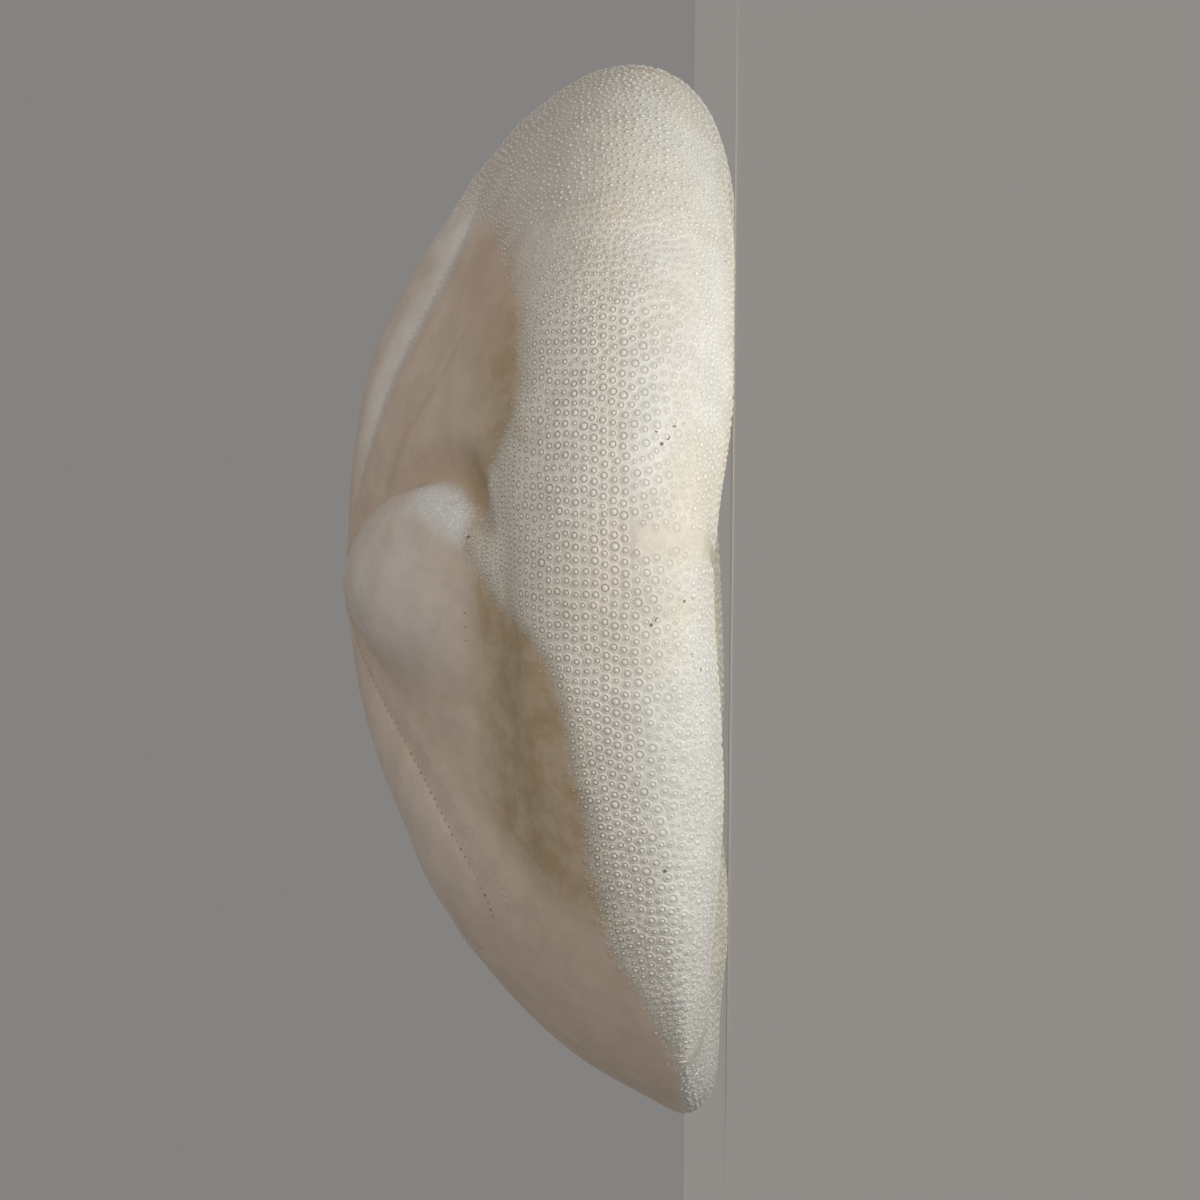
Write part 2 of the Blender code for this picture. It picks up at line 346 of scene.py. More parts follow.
    def ease(self, relief: Array, parts: dict[str, Array]) -> Array:
        """Rounds the valley between two petals.

        Near a sector's edge the relief turns into its own mean over some columns to either side.

        Args:
            relief: The relief, samples by angles.
            parts: The petals' parts at each point.

        Returns:
            The rounded relief.
        """
        mean = np.zeros_like(relief)
        for shift in range(-self.ease_columns, self.ease_columns + 1):
            mean += np.roll(relief, shift, axis=1)
        mean /= 2 * self.ease_columns + 1
        near_edge = smooth_step(parts["off_edge"], self.ease_width, 0.0)
        near_edge = near_edge * smooth_step(parts["reach"], *self.ease_reach)
        return relief + (mean - relief) * near_edge

    def mouth_side_relief(self, x: Array, y: Array, share: Array) -> Array:
        """Lift of the mouth side: five food furrows (bell curves) and the vent (a round pit)."""
        angle = np.arctan2(y, x)
        across = np.hypot(x, y) * np.sin(angle - np.round(angle / self.sector) * self.sector)
        fade = smooth_step(share, 0.12, 0.25) * smooth_step(share, 1.0, 0.8)
        furrow = self.furrow_depth * fade * bell(across, self.furrow_half_width)
        gap = np.hypot(x - self.vent_x(), y)
        return furrow + self.vent_depth * smooth_step(gap / self.vent_radius, 1.15, 0.7)

    def vent_x(self) -> float:
        """Place of the vent on the X axis, from the crown's axis."""
        return -self.vent_share * float(self.plan_radius(np.array(math.pi)))

    def middle(self) -> float:
        """Middle of the test along X, from the crown's axis, which the frame's origin is at."""
        angles = np.linspace(0, TURN, 721)
        radius, _ = self.base_surface(angles, np.array([self.ambitus()]))
        x = radius[0] * np.cos(angles)
        return float(x.min() + x.max()) / 2

    def surface(self, angles: Array, samples: Array) -> "SurfaceGrid":
        """The whole surface: the base form, moved along its normals by the relief.

        Args:
            angles: Directions, evenly spaced over one turn without the last.
            samples: Evenly spaced places on the meridian.

        Returns:
            The grid of points with its normals and zones.
        """
        radius, height = self.base_surface(angles, samples)
        points = np.stack([radius * np.cos(angles), radius * np.sin(angles), height], axis=2)
        x, y = points[..., 0], points[..., 1]
        ambitus = self.ambitus()
        upper = smooth_step(samples, ambitus, ambitus - self.upper_fade)[:, None]
        lower = smooth_step(samples, ambitus, ambitus + self.lower_fade)[:, None]
        parts = self.petal_parts(x, y)
        zones = Zones.of(self, angles, samples, (radius, height), parts)
        relief = parts["swell"] + parts["lift"] - parts["sunk"] + self.margin_step(angles, height)
        plate = self.plate_height * smooth_step(radius / self.plate_radius, 1.25, 0.85)
        relief = self.ease(relief, parts) * upper + plate * upper
        relief = relief - self.tubercle_room * zones.studded
        points = points + grid_normals(points) * relief[..., None]
        share = radius / self.plan_radius(angles)
        points[..., 2] += self.mouth_side_relief(x, y, share) * lower
        points[..., 0] -= self.middle()
        return SurfaceGrid(angles, samples, points, grid_normals(points), zones)


def grid_normals(points: Array) -> Array:
    """Outward unit normals of a grid that closes round its second axis: down cross around."""
    down = np.gradient(points, axis=0)
    wrapped = np.concatenate([points[:, -1:], points, points[:, :1]], axis=1)
    around = np.gradient(wrapped, axis=1)[:, 1:-1]
    normal = np.cross(down, around)
    return normal / np.maximum(np.linalg.norm(normal, axis=2, keepdims=True), 1e-12)


@dataclass(frozen=True)
class ZonePlan:
    """Where the areas of the surface start and end, and how they are worked out.

    A pair is the start and the end of a smooth step, which falls where the second number is the
    smaller. Directions are in degrees from the front, heights and distances in millimetres where
    no unit stands with them, and shares are of the plan radius, of a petal's length or of its form.
    """

    # Margin and its tubercles, by the depth below the wavy inner edge
    edge_shift: float = 0.5
    edge_waves: float = 0.9
    edge_seed: int = 11
    mouth_depth: float = 20.0
    margin: tuple = (-0.8, 1.8)
    studded: tuple = (-1.2, 0.8)
    studded_tip: float = 0.65
    ringed: tuple = (-0.6, 1.6)
    ringed_level: tuple = (1.5, 15.0)
    ringed_share: tuple = (0.92, 0.965)
    ringed_back_loss: float = 0.75

    # The two ends of the test, the low rim and the base
    front_end: tuple = (46.0, 22.0)
    # heights over which the front end's margin is painted darker, as painted shade
    front_level: tuple = (10.0, 24.0)
    back_end: tuple = (126.0, 150.0)
    far_back: tuple = (130.0, 172.0)
    low_level: tuple = (7.0, 2.0)
    low_share: tuple = (0.80, 0.90)
    base_share: tuple = (0.7, 0.9)
    base_part: float = 0.6

    # Spacing of the tubercles, its gain with depth, and the shares that it loses at the front end,
    # the back end and the low rim
    spacing: float = 1.0
    spacing_gain: float = 0.32
    spacing_depth: tuple = (0.3, 5.0)
    spacing_losses: tuple = (0.24, 0.24, 0.34)
    mouth_spacing: float = 0.20
    tip_spacing: float = 0.74
    tip_line: float = 0.25

    # Brown stain above the margin's edge, partly real stain and partly painted shade under the
    # margin's shoulder: its reach, the two steps by which that grows, its soft upper and lower
    # borders, its front end, and its back end, which slants with the height
    stain_reach: float = 4.0
    stain_growth: tuple = ((5.0, 72.0, 100.0), (2.5, 100.0, 118.0))
    stain_upper: tuple = (3.5, -3.0)
    stain_lower: tuple = (4.5, -0.5)
    stain_front: tuple = (26.0, 48.0)
    stain_back: tuple = (130.0, 121.0)
    stain_slant: float = 0.35
    stain_slant_level: float = 15.0
    stain_clear: tuple = (0.45, 0.90)

    # Painted shade at the corner before each blunt petal end: strength, direction, height and the
    # two widths
    corner: tuple = (1.1, 66.5, 29.2, 3.0, 1.7)

    # Blush of the stain and its painted shade beside the front petal: where it starts and ends, and
    # its strength
    blush_start: tuple = (10.0, 22.0)
    blush_end: tuple = (48.0, 38.0)
    blush_part: float = 0.6

    # Bare lines on the lower rim, food furrows, and the hollows of the vent and the mouth, painted
    # near black as shade
    suture: tuple = (0.9, 0.5)
    suture_level: tuple = (11.0, 8.0)
    suture_loss: float = 0.9
    furrow_width: float = 1.65
    furrow_start: tuple = (0.12, 0.25)
    furrow_loss: float = 0.8
    vent: tuple = (1.2, 0.7)
    mouth: tuple = (0.16, 0.07)

    # Painted highlight: white cap on each blunt petal end, by the petal's form, and the ridge of
    # the front petal
    cap_outer: tuple = (1.08, 0.90)
    cap_inner: tuple = (0.32, 0.66)
    cap_level: tuple = (29.8, 31.4)
    cap_blunt: tuple = (0.15, 0.6)
    cap_reach: tuple = (0.66, 0.82)
    ridge_along: tuple = (39.0 * MM, 43.0 * MM)
    ridge_side: tuple = (13.0, 8.0)
    ridge_part: float = 0.45

    # Faint seam between the front and side petals: direction and height of a point of it, how far
    # it leans, the heights above and below that point to which it does, strength and width
    seam: tuple = (36.0, 36.1)
    seam_lean: float = 0.92
    seam_reach: tuple = (-6, 8)
    seam_strength: float = 0.5
    seam_width: float = 0.7
    seam_level: tuple = (28.0, 32.0)

    # Painted shade of a crease at the margin's edge: direction and height of its middle,
    # millimetres to the degree, the two parts of its slope, and its length and width
    crease: tuple = (55.3, 25.2)
    crease_degree: float = 0.94
    crease_slope: tuple = (0.93, 0.36)
    crease_size: tuple = (3.4, 0.5)

    # Painted shade of the fold along the sunken band
    fold_part: float = 0.7
    fold_reach: tuple = (0.45, 0.7)

    # Painted sheen: pearly flanks of the front petal, by the distance inside its edge, and pearly
    # side petals
    flank_outer: tuple = (-3.4, 0.2)
    flank_inner: tuple = (3.6, 1.6)
    flank_side: tuple = (30.0, 20.0)
    flank_along: tuple = (10.0 * MM, 24.0 * MM)
    side_start: tuple = (40.0, 50.0)
    side_end: tuple = (112.0, 104.0)
    side_sheen: float = 0.7
    side_band_loss: float = 0.8

    # Grit on the margin: everywhere, and more at the front end, the back end, the low rim and tips
    grit: float = 0.25
    grit_gains: tuple = (0.1, 0.35, 0.5)
    grit_tip: float = 0.8
    striae: float = 0.9 * MM

    def stain(self, place: "Place", parts: dict[str, Array]) -> tuple[Array, Array]:
        """Brown stain above the margin's edge, partly real stain and partly painted shade.

        It is a band over that edge that thins out upwards, partly real stain and partly painted
        shade, or a bell of painted shade at the corner before each blunt petal end, whichever is
        stronger.

        Args:
            place: Where the points lie.
            parts: The petals' parts at each point.

        Returns:
            The stain with its painted shade, and its blush beside the front petal.
        """
        reach = self.stain_reach
        for growth, start, end in self.stain_growth:
            reach = reach + growth * smooth_step(place.turned, start, end)
        gone, full = self.stain_upper
        depth = smooth_step(-place.below, reach + gone, reach + full)
        depth = depth * smooth_step(place.below, *self.stain_lower)
        slanted = place.turned + self.stain_slant * (place.level - self.stain_slant_level)
        between = smooth_step(place.turned, *self.stain_front)
        between = between * smooth_step(slanted, *self.stain_back)
        clear = smooth_step(parts["inner"], *self.stain_clear)
        strength, direction, height, wide, tall = self.corner
        # painted shade at the corner before each blunt petal end
        corner = strength * bell(place.turned - direction, wide) * bell(place.level - height, tall)
        blush = depth * smooth_step(place.turned, *self.blush_start)
        blush = blush * smooth_step(place.turned, *self.blush_end)
        stain = np.maximum(depth * between * clear, corner)
        return stain * place.upper_side, blush * place.upper_side

    def hollows(self, form: TestForm, place: "Place", angles: Array) -> tuple[Array, Array, Array]:
        """Bare lines of the lower rim, food furrows, and the hollows of the mouth and the vent.

        Args:
            form: The form of the test.
            place: Where the points lie.
            angles: Directions in radians.

        Returns:
            The bare lines, the furrows and the hollows.
        """
        off_line = angles - np.round(angles / form.sector) * form.sector
        off_line = np.abs(place.radius * np.sin(off_line)) / MM
        suture = smooth_step(off_line, *self.suture) * smooth_step(place.level, *self.suture_level)
        furrow = place.mouth_side * bell(off_line, self.furrow_width)
        furrow = furrow * smooth_step(place.share, *self.furrow_start)
        x, y = place.radius * np.cos(angles), place.radius * np.sin(angles)
        vent = smooth_step(np.hypot(x - form.vent_x(), y) / form.vent_radius, *self.vent)
        hollow = np.maximum(vent, smooth_step(place.share, *self.mouth)) * place.mouth_side
        return suture, furrow, hollow

    def tips(self, place: "Place", parts: dict[str, Array], margin: Array) -> Array:
        """Painted highlight: white cap of each blunt petal end, and the fainter ridge of the front
        petal's end.
        """
        inner = parts["inner"]
        cap = smooth_step(inner, *self.cap_outer) * smooth_step(inner, *self.cap_inner)
        cap = cap * smooth_step(place.level, *self.cap_level)
        cap = cap * smooth_step(parts["blunt"], *self.cap_blunt)
        blunt_tip = cap * smooth_step(parts["reach"], *self.cap_reach)
        ridge = smooth_step(parts["along"], *self.ridge_along)
        ridge = ridge * smooth_step(place.turned, *self.ridge_side)
        return np.maximum(blunt_tip, self.ridge_part * ridge * (1 - margin)) * place.upper_side

    def lines(self, form: TestForm, place: "Place", parts: dict[str, Array], blush: Array) -> Array:
        """Faint brown lines: the seam, the blush, and painted shade of the crease and the fold,
        whichever is strongest.

        Args:
            form: The form of the test.
            place: Where the points lie.
            parts: The petals' parts at each point.
            blush: The stain's blush beside the front petal.

        Returns:
            The lines' strength.
        """
        direction, height = self.seam
        lean = self.seam_lean * np.clip(place.level - height, *self.seam_reach)
        gap = place.turned - direction - lean
        seam = self.seam_strength * bell(np.radians(gap) * place.radius / MM, self.seam_width)
        seam = seam * smooth_step(place.level, *self.seam_level)
        direction, height = self.crease
        length, width = self.crease_size
        run, rise = self.crease_slope
        along_edge, above = (place.turned - direction) * self.crease_degree, place.level - height
        # painted shade along the crease
        crease = bell(along_edge * run - above * rise, length)
        crease = crease * bell(along_edge * rise + above * run, width)
        # painted shade in the fold of the sunken band
        fold = self.fold_part * parts["sunk"] / form.band_depth
        fold = fold * smooth_step(parts["reach"], *self.fold_reach)
        return np.maximum(np.maximum(seam, crease), np.maximum(self.blush_part * blush, fold))

    def flanks(self, place: "Place", parts: dict[str, Array], margin: Array) -> tuple[Array, Array]:
        """Painted sheen: pearly areas of the front and side petals.

        Args:
            place: Where the points lie.
            parts: The petals' parts at each point.
            margin: Share of the margin.

        Returns:
            The painted sheen, and the share of the side petals' directions.
        """
        inside = (parts["half"] - np.abs(parts["across"])) / MM
        flank = smooth_step(inside, *self.flank_outer) * smooth_step(inside, *self.flank_inner)
        flank = flank * smooth_step(place.turned, *self.flank_side)
        flank = flank * smooth_step(parts["along"], *self.flank_along)
        flank = flank * place.upper_side * (1 - margin)
        side = smooth_step(place.turned, *self.side_start)
        side = side * smooth_step(place.turned, *self.side_end)
        painted_sheen = self.side_sheen * parts["raised"] * side * place.upper_side
        return np.maximum(flank, painted_sheen), side


@dataclass
class Place:
    """Where each point lies, in degrees, millimetres and shares, but the radius in metres."""

    turned: Array
    level: Array
    radius: Array
    share: Array
    upper_side: Array
    mouth_side: Array
    below: Array

    @classmethod
    def of(
        cls, form: TestForm, plan: ZonePlan, angles: Array, samples: Array, base: tuple
    ) -> "Place":
        """Works the places out.

        Args:
            form: The form of the test.
            plan: The plan of the areas.
            angles: Directions in radians.
            samples: Places on the meridian.
            base: Distance from the crown's axis and height of each point, samples by angles.

        Returns:
            The places on the same grid.
        """
        radius, height = base
        upper_side = (samples < form.ambitus())[:, None] * np.ones_like(radius)
        below = (form.edge_height(angles) - height) / MM + plan.edge_shift
        below = below + plan.edge_waves * waves(angles, height, plan.edge_seed)
        return cls(
            turned=np.degrees(np.abs((angles + math.pi) % TURN - math.pi)) * np.ones_like(radius),
            level=height / MM,
            radius=radius,
            share=radius / form.plan_radius(angles),
            upper_side=upper_side,
            mouth_side=1 - upper_side,
            below=np.where(upper_side > 0, below, plan.mouth_depth),
        )


@dataclass
class Zones:
    """Graded areas of the surface at each point: shares from 0 to 1, a spacing and a phase."""

    margin: Array
    studded: Array
    ringed: Array
    spacing: Array
    trough: Array
    raised: Array
    band: Array
    flank: Array
    furrow: Array
    hollow: Array
    tip: Array
    back: Array
    front: Array
    base: Array
    line: Array
    grit: Array
    phase: Array

    @classmethod
    def names(cls) -> tuple[str, ...]:
        """Names of the areas."""
        return tuple(entry.name for entry in fields(cls))

    @classmethod
    def of(cls, form: TestForm, angles: Array, samples: Array, base: tuple, parts: dict) -> "Zones":
        """Works the zones out from the directions, heights and petals.

        Args:
            form: The form of the test.
            angles: Directions in radians.
            samples: Places on the meridian.
            base: Distance from the crown's axis and height of each point, samples by angles.
            parts: The petals' parts at each point.

        Returns:
            The zones on the same grid.
        """
        plan = ZonePlan()
        place = Place.of(form, plan, angles, samples, base)
        margin = smooth_step(place.below, *plan.margin)
        front_end = smooth_step(place.turned, *plan.front_end)
        back_end = smooth_step(place.turned, *plan.back_end)
        low = smooth_step(place.level, *plan.low_level) * smooth_step(place.share, *plan.low_share)
        trough, blush = plan.stain(place, parts)
        suture, furrow, hollow = plan.hollows(form, place, angles)
        tip = plan.tips(place, parts, margin)
        flank, side_petal = plan.flanks(place, parts, margin)

        studded = np.maximum(smooth_step(place.below, *plan.studded), plan.studded_tip * tip)
        studded = studded * (1 - hollow) * (1 - plan.furrow_loss * furrow)
        studded = studded * (1 - plan.suture_loss * suture)
        at_front, at_back, at_rim = plan.spacing_losses
        spacing = plan.spacing + plan.spacing_gain * smooth_step(place.below, *plan.spacing_depth)
        spacing = spacing * (1 - at_front * front_end) * (1 - at_back * back_end)
        spacing = spacing * (1 - at_rim * low)
        spacing = spacing + plan.mouth_spacing * place.mouth_side
        on_tip = tip > plan.tip_line
        ringed = (1 - front_end) * (1 - plan.ringed_back_loss * back_end)
        ringed = ringed * smooth_step(place.level, *plan.ringed_level)
        ringed = ringed * smooth_step(place.below, *plan.ringed)
        face = np.maximum(place.upper_side, smooth_step(place.share, *plan.ringed_share))

        more_front, more_back, more_low = plan.grit_gains
        grit = plan.grit + more_front * front_end + more_back * back_end + more_low * low
        side_band = 1 - plan.side_band_loss * side_petal
        wide_base = plan.base_part * place.mouth_side * smooth_step(place.share, *plan.base_share)
        return cls(
            margin=margin,
            studded=np.clip(studded, 0, 1),
            ringed=ringed * np.where(on_tip, 0.0, face),
            spacing=np.where(on_tip, plan.tip_spacing, spacing) * MM,
            trough=trough,
            raised=parts["raised"] * place.upper_side,
            band=parts["band"] * place.upper_side * (1 - margin) * side_band,
            flank=flank,
            furrow=furrow,
            hollow=hollow,
            tip=tip,
            back=smooth_step(place.turned, *plan.far_back),
            # where the front end's margin is painted darker and pinker: painted shade
            front=front_end * smooth_step(place.level, *plan.front_level),
            base=np.maximum(low, wide_base),
            line=plan.lines(form, place, parts, blush) * place.upper_side * (1 - tip),
            grit=np.clip(margin * grit + plan.grit_tip * tip, 0, 1),
            phase=TURN * parts["along"] / plan.striae,
        )


@dataclass
class SurfaceGrid:
    """A grid of points over the whole test, closed round its second axis."""

    angles: Array
    samples: Array
    points: Array
    normals: Array
    zones: Zones

    def read(self, values: Array, angle: Array, sample: Array) -> Array:
        """Reads values of the grid at any places, linearly between its points.

        Args:
            values: One value or vector for each point of the grid.
            angle: Directions in radians.
            sample: Places on the meridian.

        Returns:
            The values there.
        """
        rows, columns = values.shape[:2]
        across = (angle / TURN % 1.0) * columns
        down = (sample - self.samples[0]) / (self.samples[1] - self.samples[0])
        down = np.clip(down, 0, rows - 1.001)
        c0, r0 = np.floor(across).astype(int), np.floor(down).astype(int)
        c0, c1 = c0 % columns, (c0 + 1) % columns
        fc, fr = across - np.floor(across), down - r0
        if values.ndim == 3:
            fc, fr = fc[:, None], fr[:, None]
        upper = values[r0, c0] * (1 - fc) + values[r0, c1] * fc
        lower = values[r0 + 1, c0] * (1 - fc) + values[r0 + 1, c1] * fc
        return upper * (1 - fr) + lower * fr

    def zones_at(self, angle: Array, sample: Array) -> Zones:
        """The zones at any places."""
        found = (self.read(getattr(self.zones, name), angle, sample) for name in Zones.names())
        return Zones(*found)

    def slopes(self) -> tuple[Array, Array]:
        """Change of the points per radian round the test, and per unit of the meridian place."""
        wrapped = np.concatenate([self.points[:, -1:], self.points, self.points[:, :1]], axis=1)
        around = np.gradient(wrapped, axis=1)[:, 1:-1] / (self.angles[1] - self.angles[0])
        return around, np.gradient(self.points, axis=0) / (self.samples[1] - self.samples[0])


def make_grid(form: TestForm, columns: int, rows: int) -> SurfaceGrid:
    """The form's surface on a grid of rows by columns, without the two poles."""
    angles = np.linspace(0, TURN, columns, endpoint=False)
    return form.surface(angles, np.linspace(0, 1, rows + 2)[1:-1])


def make_mesh(name: str, vertices: Array, quads: Array, triangles: Array) -> bpy.types.Mesh:
    """Puts arrays of points and faces into a smooth mesh.

    Args:
        name: Name of the mesh.
        vertices: One row of three numbers for each point.
        quads: One row of four point numbers for each quad.
        triangles: One row of three point numbers for each triangle.

    Returns:
        The new mesh.
    """
    mesh = bpy.data.meshes.new(name)
    mesh.vertices.add(len(vertices))
    mesh.vertices.foreach_set("co", np.ascontiguousarray(vertices, dtype=np.float32).ravel())
    corners = np.concatenate([quads.ravel(), triangles.ravel()]).astype(np.int32)
    counts = np.concatenate([np.full(len(quads), 4), np.full(len(triangles), 3)])
    starts = np.concatenate([[0], np.cumsum(counts)[:-1]]).astype(np.int32)
    mesh.loops.add(len(corners))
    mesh.loops.foreach_set("vertex_index", corners)
    mesh.polygons.add(len(counts))
    mesh.polygons.foreach_set("loop_start", starts)
    mesh.update(calc_edges=True)
    mesh.validate()
    mesh.shade_smooth()
    return mesh


def put_attributes(mesh: bpy.types.Mesh, tint: Array, numbers: dict[str, Array]) -> None:
    """Writes the colour "tint" and the named numbers at each point of the mesh."""
    colour = mesh.attributes.new("tint", "FLOAT_COLOR", "POINT")
    with_alpha = np.concatenate([tint, np.ones((len(tint), 1))], axis=1).astype(np.float32)
    colour.data.foreach_set("color", with_alpha.ravel())
    for name, values in numbers.items():
        layer = mesh.attributes.new(name, "FLOAT", "POINT")
        layer.data.foreach_set("value", np.ascontiguousarray(values, dtype=np.float32))


def add_piece(name: str, mesh: bpy.types.Mesh, material: bpy.types.Material) -> bpy.types.Object:
    """Links the mesh as a piece of the test that rides on its body."""
    piece = bpy.data.objects.new(name, mesh)
    bpy.context.scene.collection.objects.link(piece)
    mesh.materials.append(material)
    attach(piece, BODY)
    log.info("%s: %d faces", name, len(mesh.polygons))
    return piece


@dataclass(frozen=True)
class Clouds:
    """Fractal noise, graded from 0 to 1 between two of its values."""

    scale: float
    detail: float
    rough: float
    shift: float
    low: float
    high: float


@dataclass(frozen=True)
class ShellFinish:
    """Bleached, chalky calcite: ivory margin, pinkish beige above, partly painted shade, and an
    olive-brown band by the margin, partly stain and partly painted shade.
    """

    # beige of the upper side: partly its own colour, partly painted shade of the side turned from
    # the light
    beige: tuple = (0.67, 0.545, 0.44)
    ivory: tuple = (0.795, 0.765, 0.685)
    white: tuple = (0.81, 0.815, 0.79)
    # bright white: painted highlight of the caps, and of the bosses together with their wear
    bright: tuple = (0.93, 0.92, 0.88)
    cream: tuple = (0.77, 0.70, 0.56)
    rosy: tuple = (0.75, 0.69, 0.64)
    # olive: colour of the stain by the margin's edge, partly real stain and partly painted shade
    olive: tuple = (0.44, 0.335, 0.195)
    brown: tuple = (0.52, 0.35, 0.22)
    painted_sheen: tuple = (0.74, 0.70, 0.655)
    # lighter grey of the petals' swellings: painted highlight
    swelling_highlight_grey: tuple = (0.68, 0.605, 0.55)
    ash: tuple = (0.60, 0.565, 0.50)
    # darker, pinker tone of the front end's margin: painted shade
    front_shade_mauve: tuple = (0.625, 0.545, 0.495)
    dark: tuple = (0.085, 0.06, 0.042)
    ring_dirt_and_shade: tuple = (0.46, 0.405, 0.33)

    # Share of each area's colour where the area is full, and what the margin takes off the stain
    raised_share: float = 0.65
    band_share: float = 0.22
    sheen_share: float = 0.80
    base_share: float = 0.85
    back_share: float = 0.2
    front_shade_share: float = 0.6
    line_share: float = 0.55
    furrow_share: float = 0.4
    opening_shade_share: float = 0.9
    stain_loss: float = 0.45

    # Clouds of colour with their strength, or with their strengths off and on the margin, or with
    # the strengths or shades that they go between
    cream_clouds: Clouds = Clouds(55, 3, 0.55, 0.0, 0.50, 0.70)
    cream_strength: float = 0.50
    rosy_clouds: Clouds = Clouds(38, 2, 0.5, 3.1, 0.52, 0.75)
    rosy_strength: float = 0.35
    brown_clouds: Clouds = Clouds(120, 4, 0.65, 1.7, 0.56, 0.76)
    brown_strengths: tuple = (0.22, 0.10)
    olive_clouds: Clouds = Clouds(230, 5, 0.7, 4.3, 0.36, 0.62)
    olive_strengths: tuple = (0.50, 0.95)
    pale_clouds: Clouds = Clouds(260, 4, 0.6, 0.0, 0.30, 0.75)
    pale_shades: tuple = (0.93, 1.05)

    # Grain: scale, detail and roughness. Granules: scale. Specks: scale, size and rarity
    grain: tuple = (1500, 3, 0.6)
    grain_shades: tuple = (0.94, 1.06)
    granule_scale: float = 1900
    granule_shades: tuple = (0.84, 1.10)
    specks: tuple = (560, 0.080, 0.55)
    speck_strength: float = 0.85

    # Rings round the tubercles, darkened as dirt and painted shade, and the grooves sunk far enough
    # to be painted darker still
    ring_strength: float = 0.64
    deep_groove: tuple = (0.55, 1.0)
    deep_strength: float = 0.76

    # Surface: gloss, and a bump of granules, chalk and striae
    roughness: float = 0.62
    gloss: float = 0.32
    bump_strength: float = 0.6
    bump_distance: float = 0.1 * MM
    chalk: tuple = (2600, 3, 0.65)
    chalk_height: float = 0.45
    striae_height: float = 0.22

    def tint(self, zones: Zones) -> Array:
        """Slow change of colour over the surface: each zone's colour is mixed in by its share."""
        colour = np.broadcast_to(np.array(self.beige), (len(zones.margin), 3))
        steps = (
            (self.swelling_highlight_grey, self.raised_share * zones.raised),
            (self.rosy, self.band_share * zones.band),
            (self.painted_sheen, self.sheen_share * zones.flank),
            (self.ivory, zones.margin),
            (self.white, self.base_share * zones.base),
            (self.ash, self.back_share * zones.back * zones.margin),
            (self.front_shade_mauve, self.front_shade_share * zones.front * zones.margin),
            # brown lines, with the painted shade of the crease and the fold
            (self.brown, self.line_share * zones.line),
            # painted highlight on the caps and the front petal's ridge
            (self.bright, zones.tip),
            (self.cream, self.furrow_share * zones.furrow),
            # mouth and vent openings painted near black: painted shade
            (self.dark, self.opening_shade_share * zones.hollow),
        )
        for target, share in steps:
            weight = np.clip(share, 0, 1)[:, None]
            colour = colour * (1 - weight) + np.array(target) * weight
        return colour

    def numbers(self, zones: Zones, groove: Array) -> dict[str, Array]:
        """The point numbers that the material reads."""
        return {
            "margin": zones.margin,
            # the stain attribute holds the brown stain by the margin with its painted shade
            "stain": zones.trough * (1 - self.stain_loss * zones.margin) * (1 - zones.tip),
            "grit": zones.grit,
            "band": zones.band,
            "band_phase": zones.phase,
            "groove": groove,
        }

    def material(self) -> bpy.types.Material:
        """The node material: the point colours, mottled and speckled, with a fine chalky grain."""
        material = bpy.data.materials.new("shell_calcite")
        material.use_nodes = True
        tree = NodeTree(material.node_tree)
        shader = material.node_tree.nodes["Principled BSDF"]
        shader.inputs["Roughness"].default_value = self.roughness
        shader.inputs["Specular IOR Level"].default_value = self.gloss
        place = tree.node("ShaderNodeTexCoord").outputs["Object"]
        margin = tree.attribute("margin", "Fac")
        tree.link(self.colour(tree, place, margin), shader.inputs["Base Color"])
        bump = tree.node("ShaderNodeBump")
        bump.inputs["Strength"].default_value = self.bump_strength
        bump.inputs["Distance"].default_value = self.bump_distance
        tree.link(self.relief(tree, place), bump.inputs["Height"])
        tree.link(bump.outputs["Normal"], shader.inputs["Normal"])
        return material

    def colour(self, tree: "NodeTree", place: object, margin: object) -> bpy.types.NodeSocket:
        """Colour: the tint with clouds, mottle and grain, rings of dirt and painted shade, bosses
        whitened as wear and painted highlight, and a few specks.
        """
        colour = tree.attribute("tint", "Color")
        for clouds, strength, target in (
            (self.cream_clouds, self.cream_strength, self.cream),
            (self.rosy_clouds, self.rosy_strength, self.rosy),
        ):
            share = tree.times(tree.clouds(place, clouds), tree.times(margin, strength))
            colour = tree.mix_colour(share, colour, target)
        patches = tree.clouds(place, self.brown_clouds)
        share = tree.times(patches, tree.span(margin, *self.brown_strengths))
        colour = tree.mix_colour(share, colour, self.brown)
        # Olive mottled over the stain by the margin: partly real stain, partly painted shade
        mottled = tree.span(tree.clouds(place, self.olive_clouds), *self.olive_strengths)
        share = tree.times(mottled, tree.attribute("stain", "Fac"))
        colour = tree.mix_colour(share, colour, self.olive)
        grit = tree.attribute("grit", "Fac")
        granules = tree.span(tree.granules(place, self.granule_scale), *self.granule_shades)
        shade = tree.plus(tree.times(grit, granules), tree.span(grit, 1.0, 0.0))
        colour = tree.scale_colour(colour, shade)
        mottle = tree.clouds(place, self.pale_clouds)
        colour = tree.scale_colour(colour, tree.span(mottle, *self.pale_shades))
        grain = tree.noise(place, *self.grain)
        colour = tree.scale_colour(colour, tree.span(grain, *self.grain_shades))
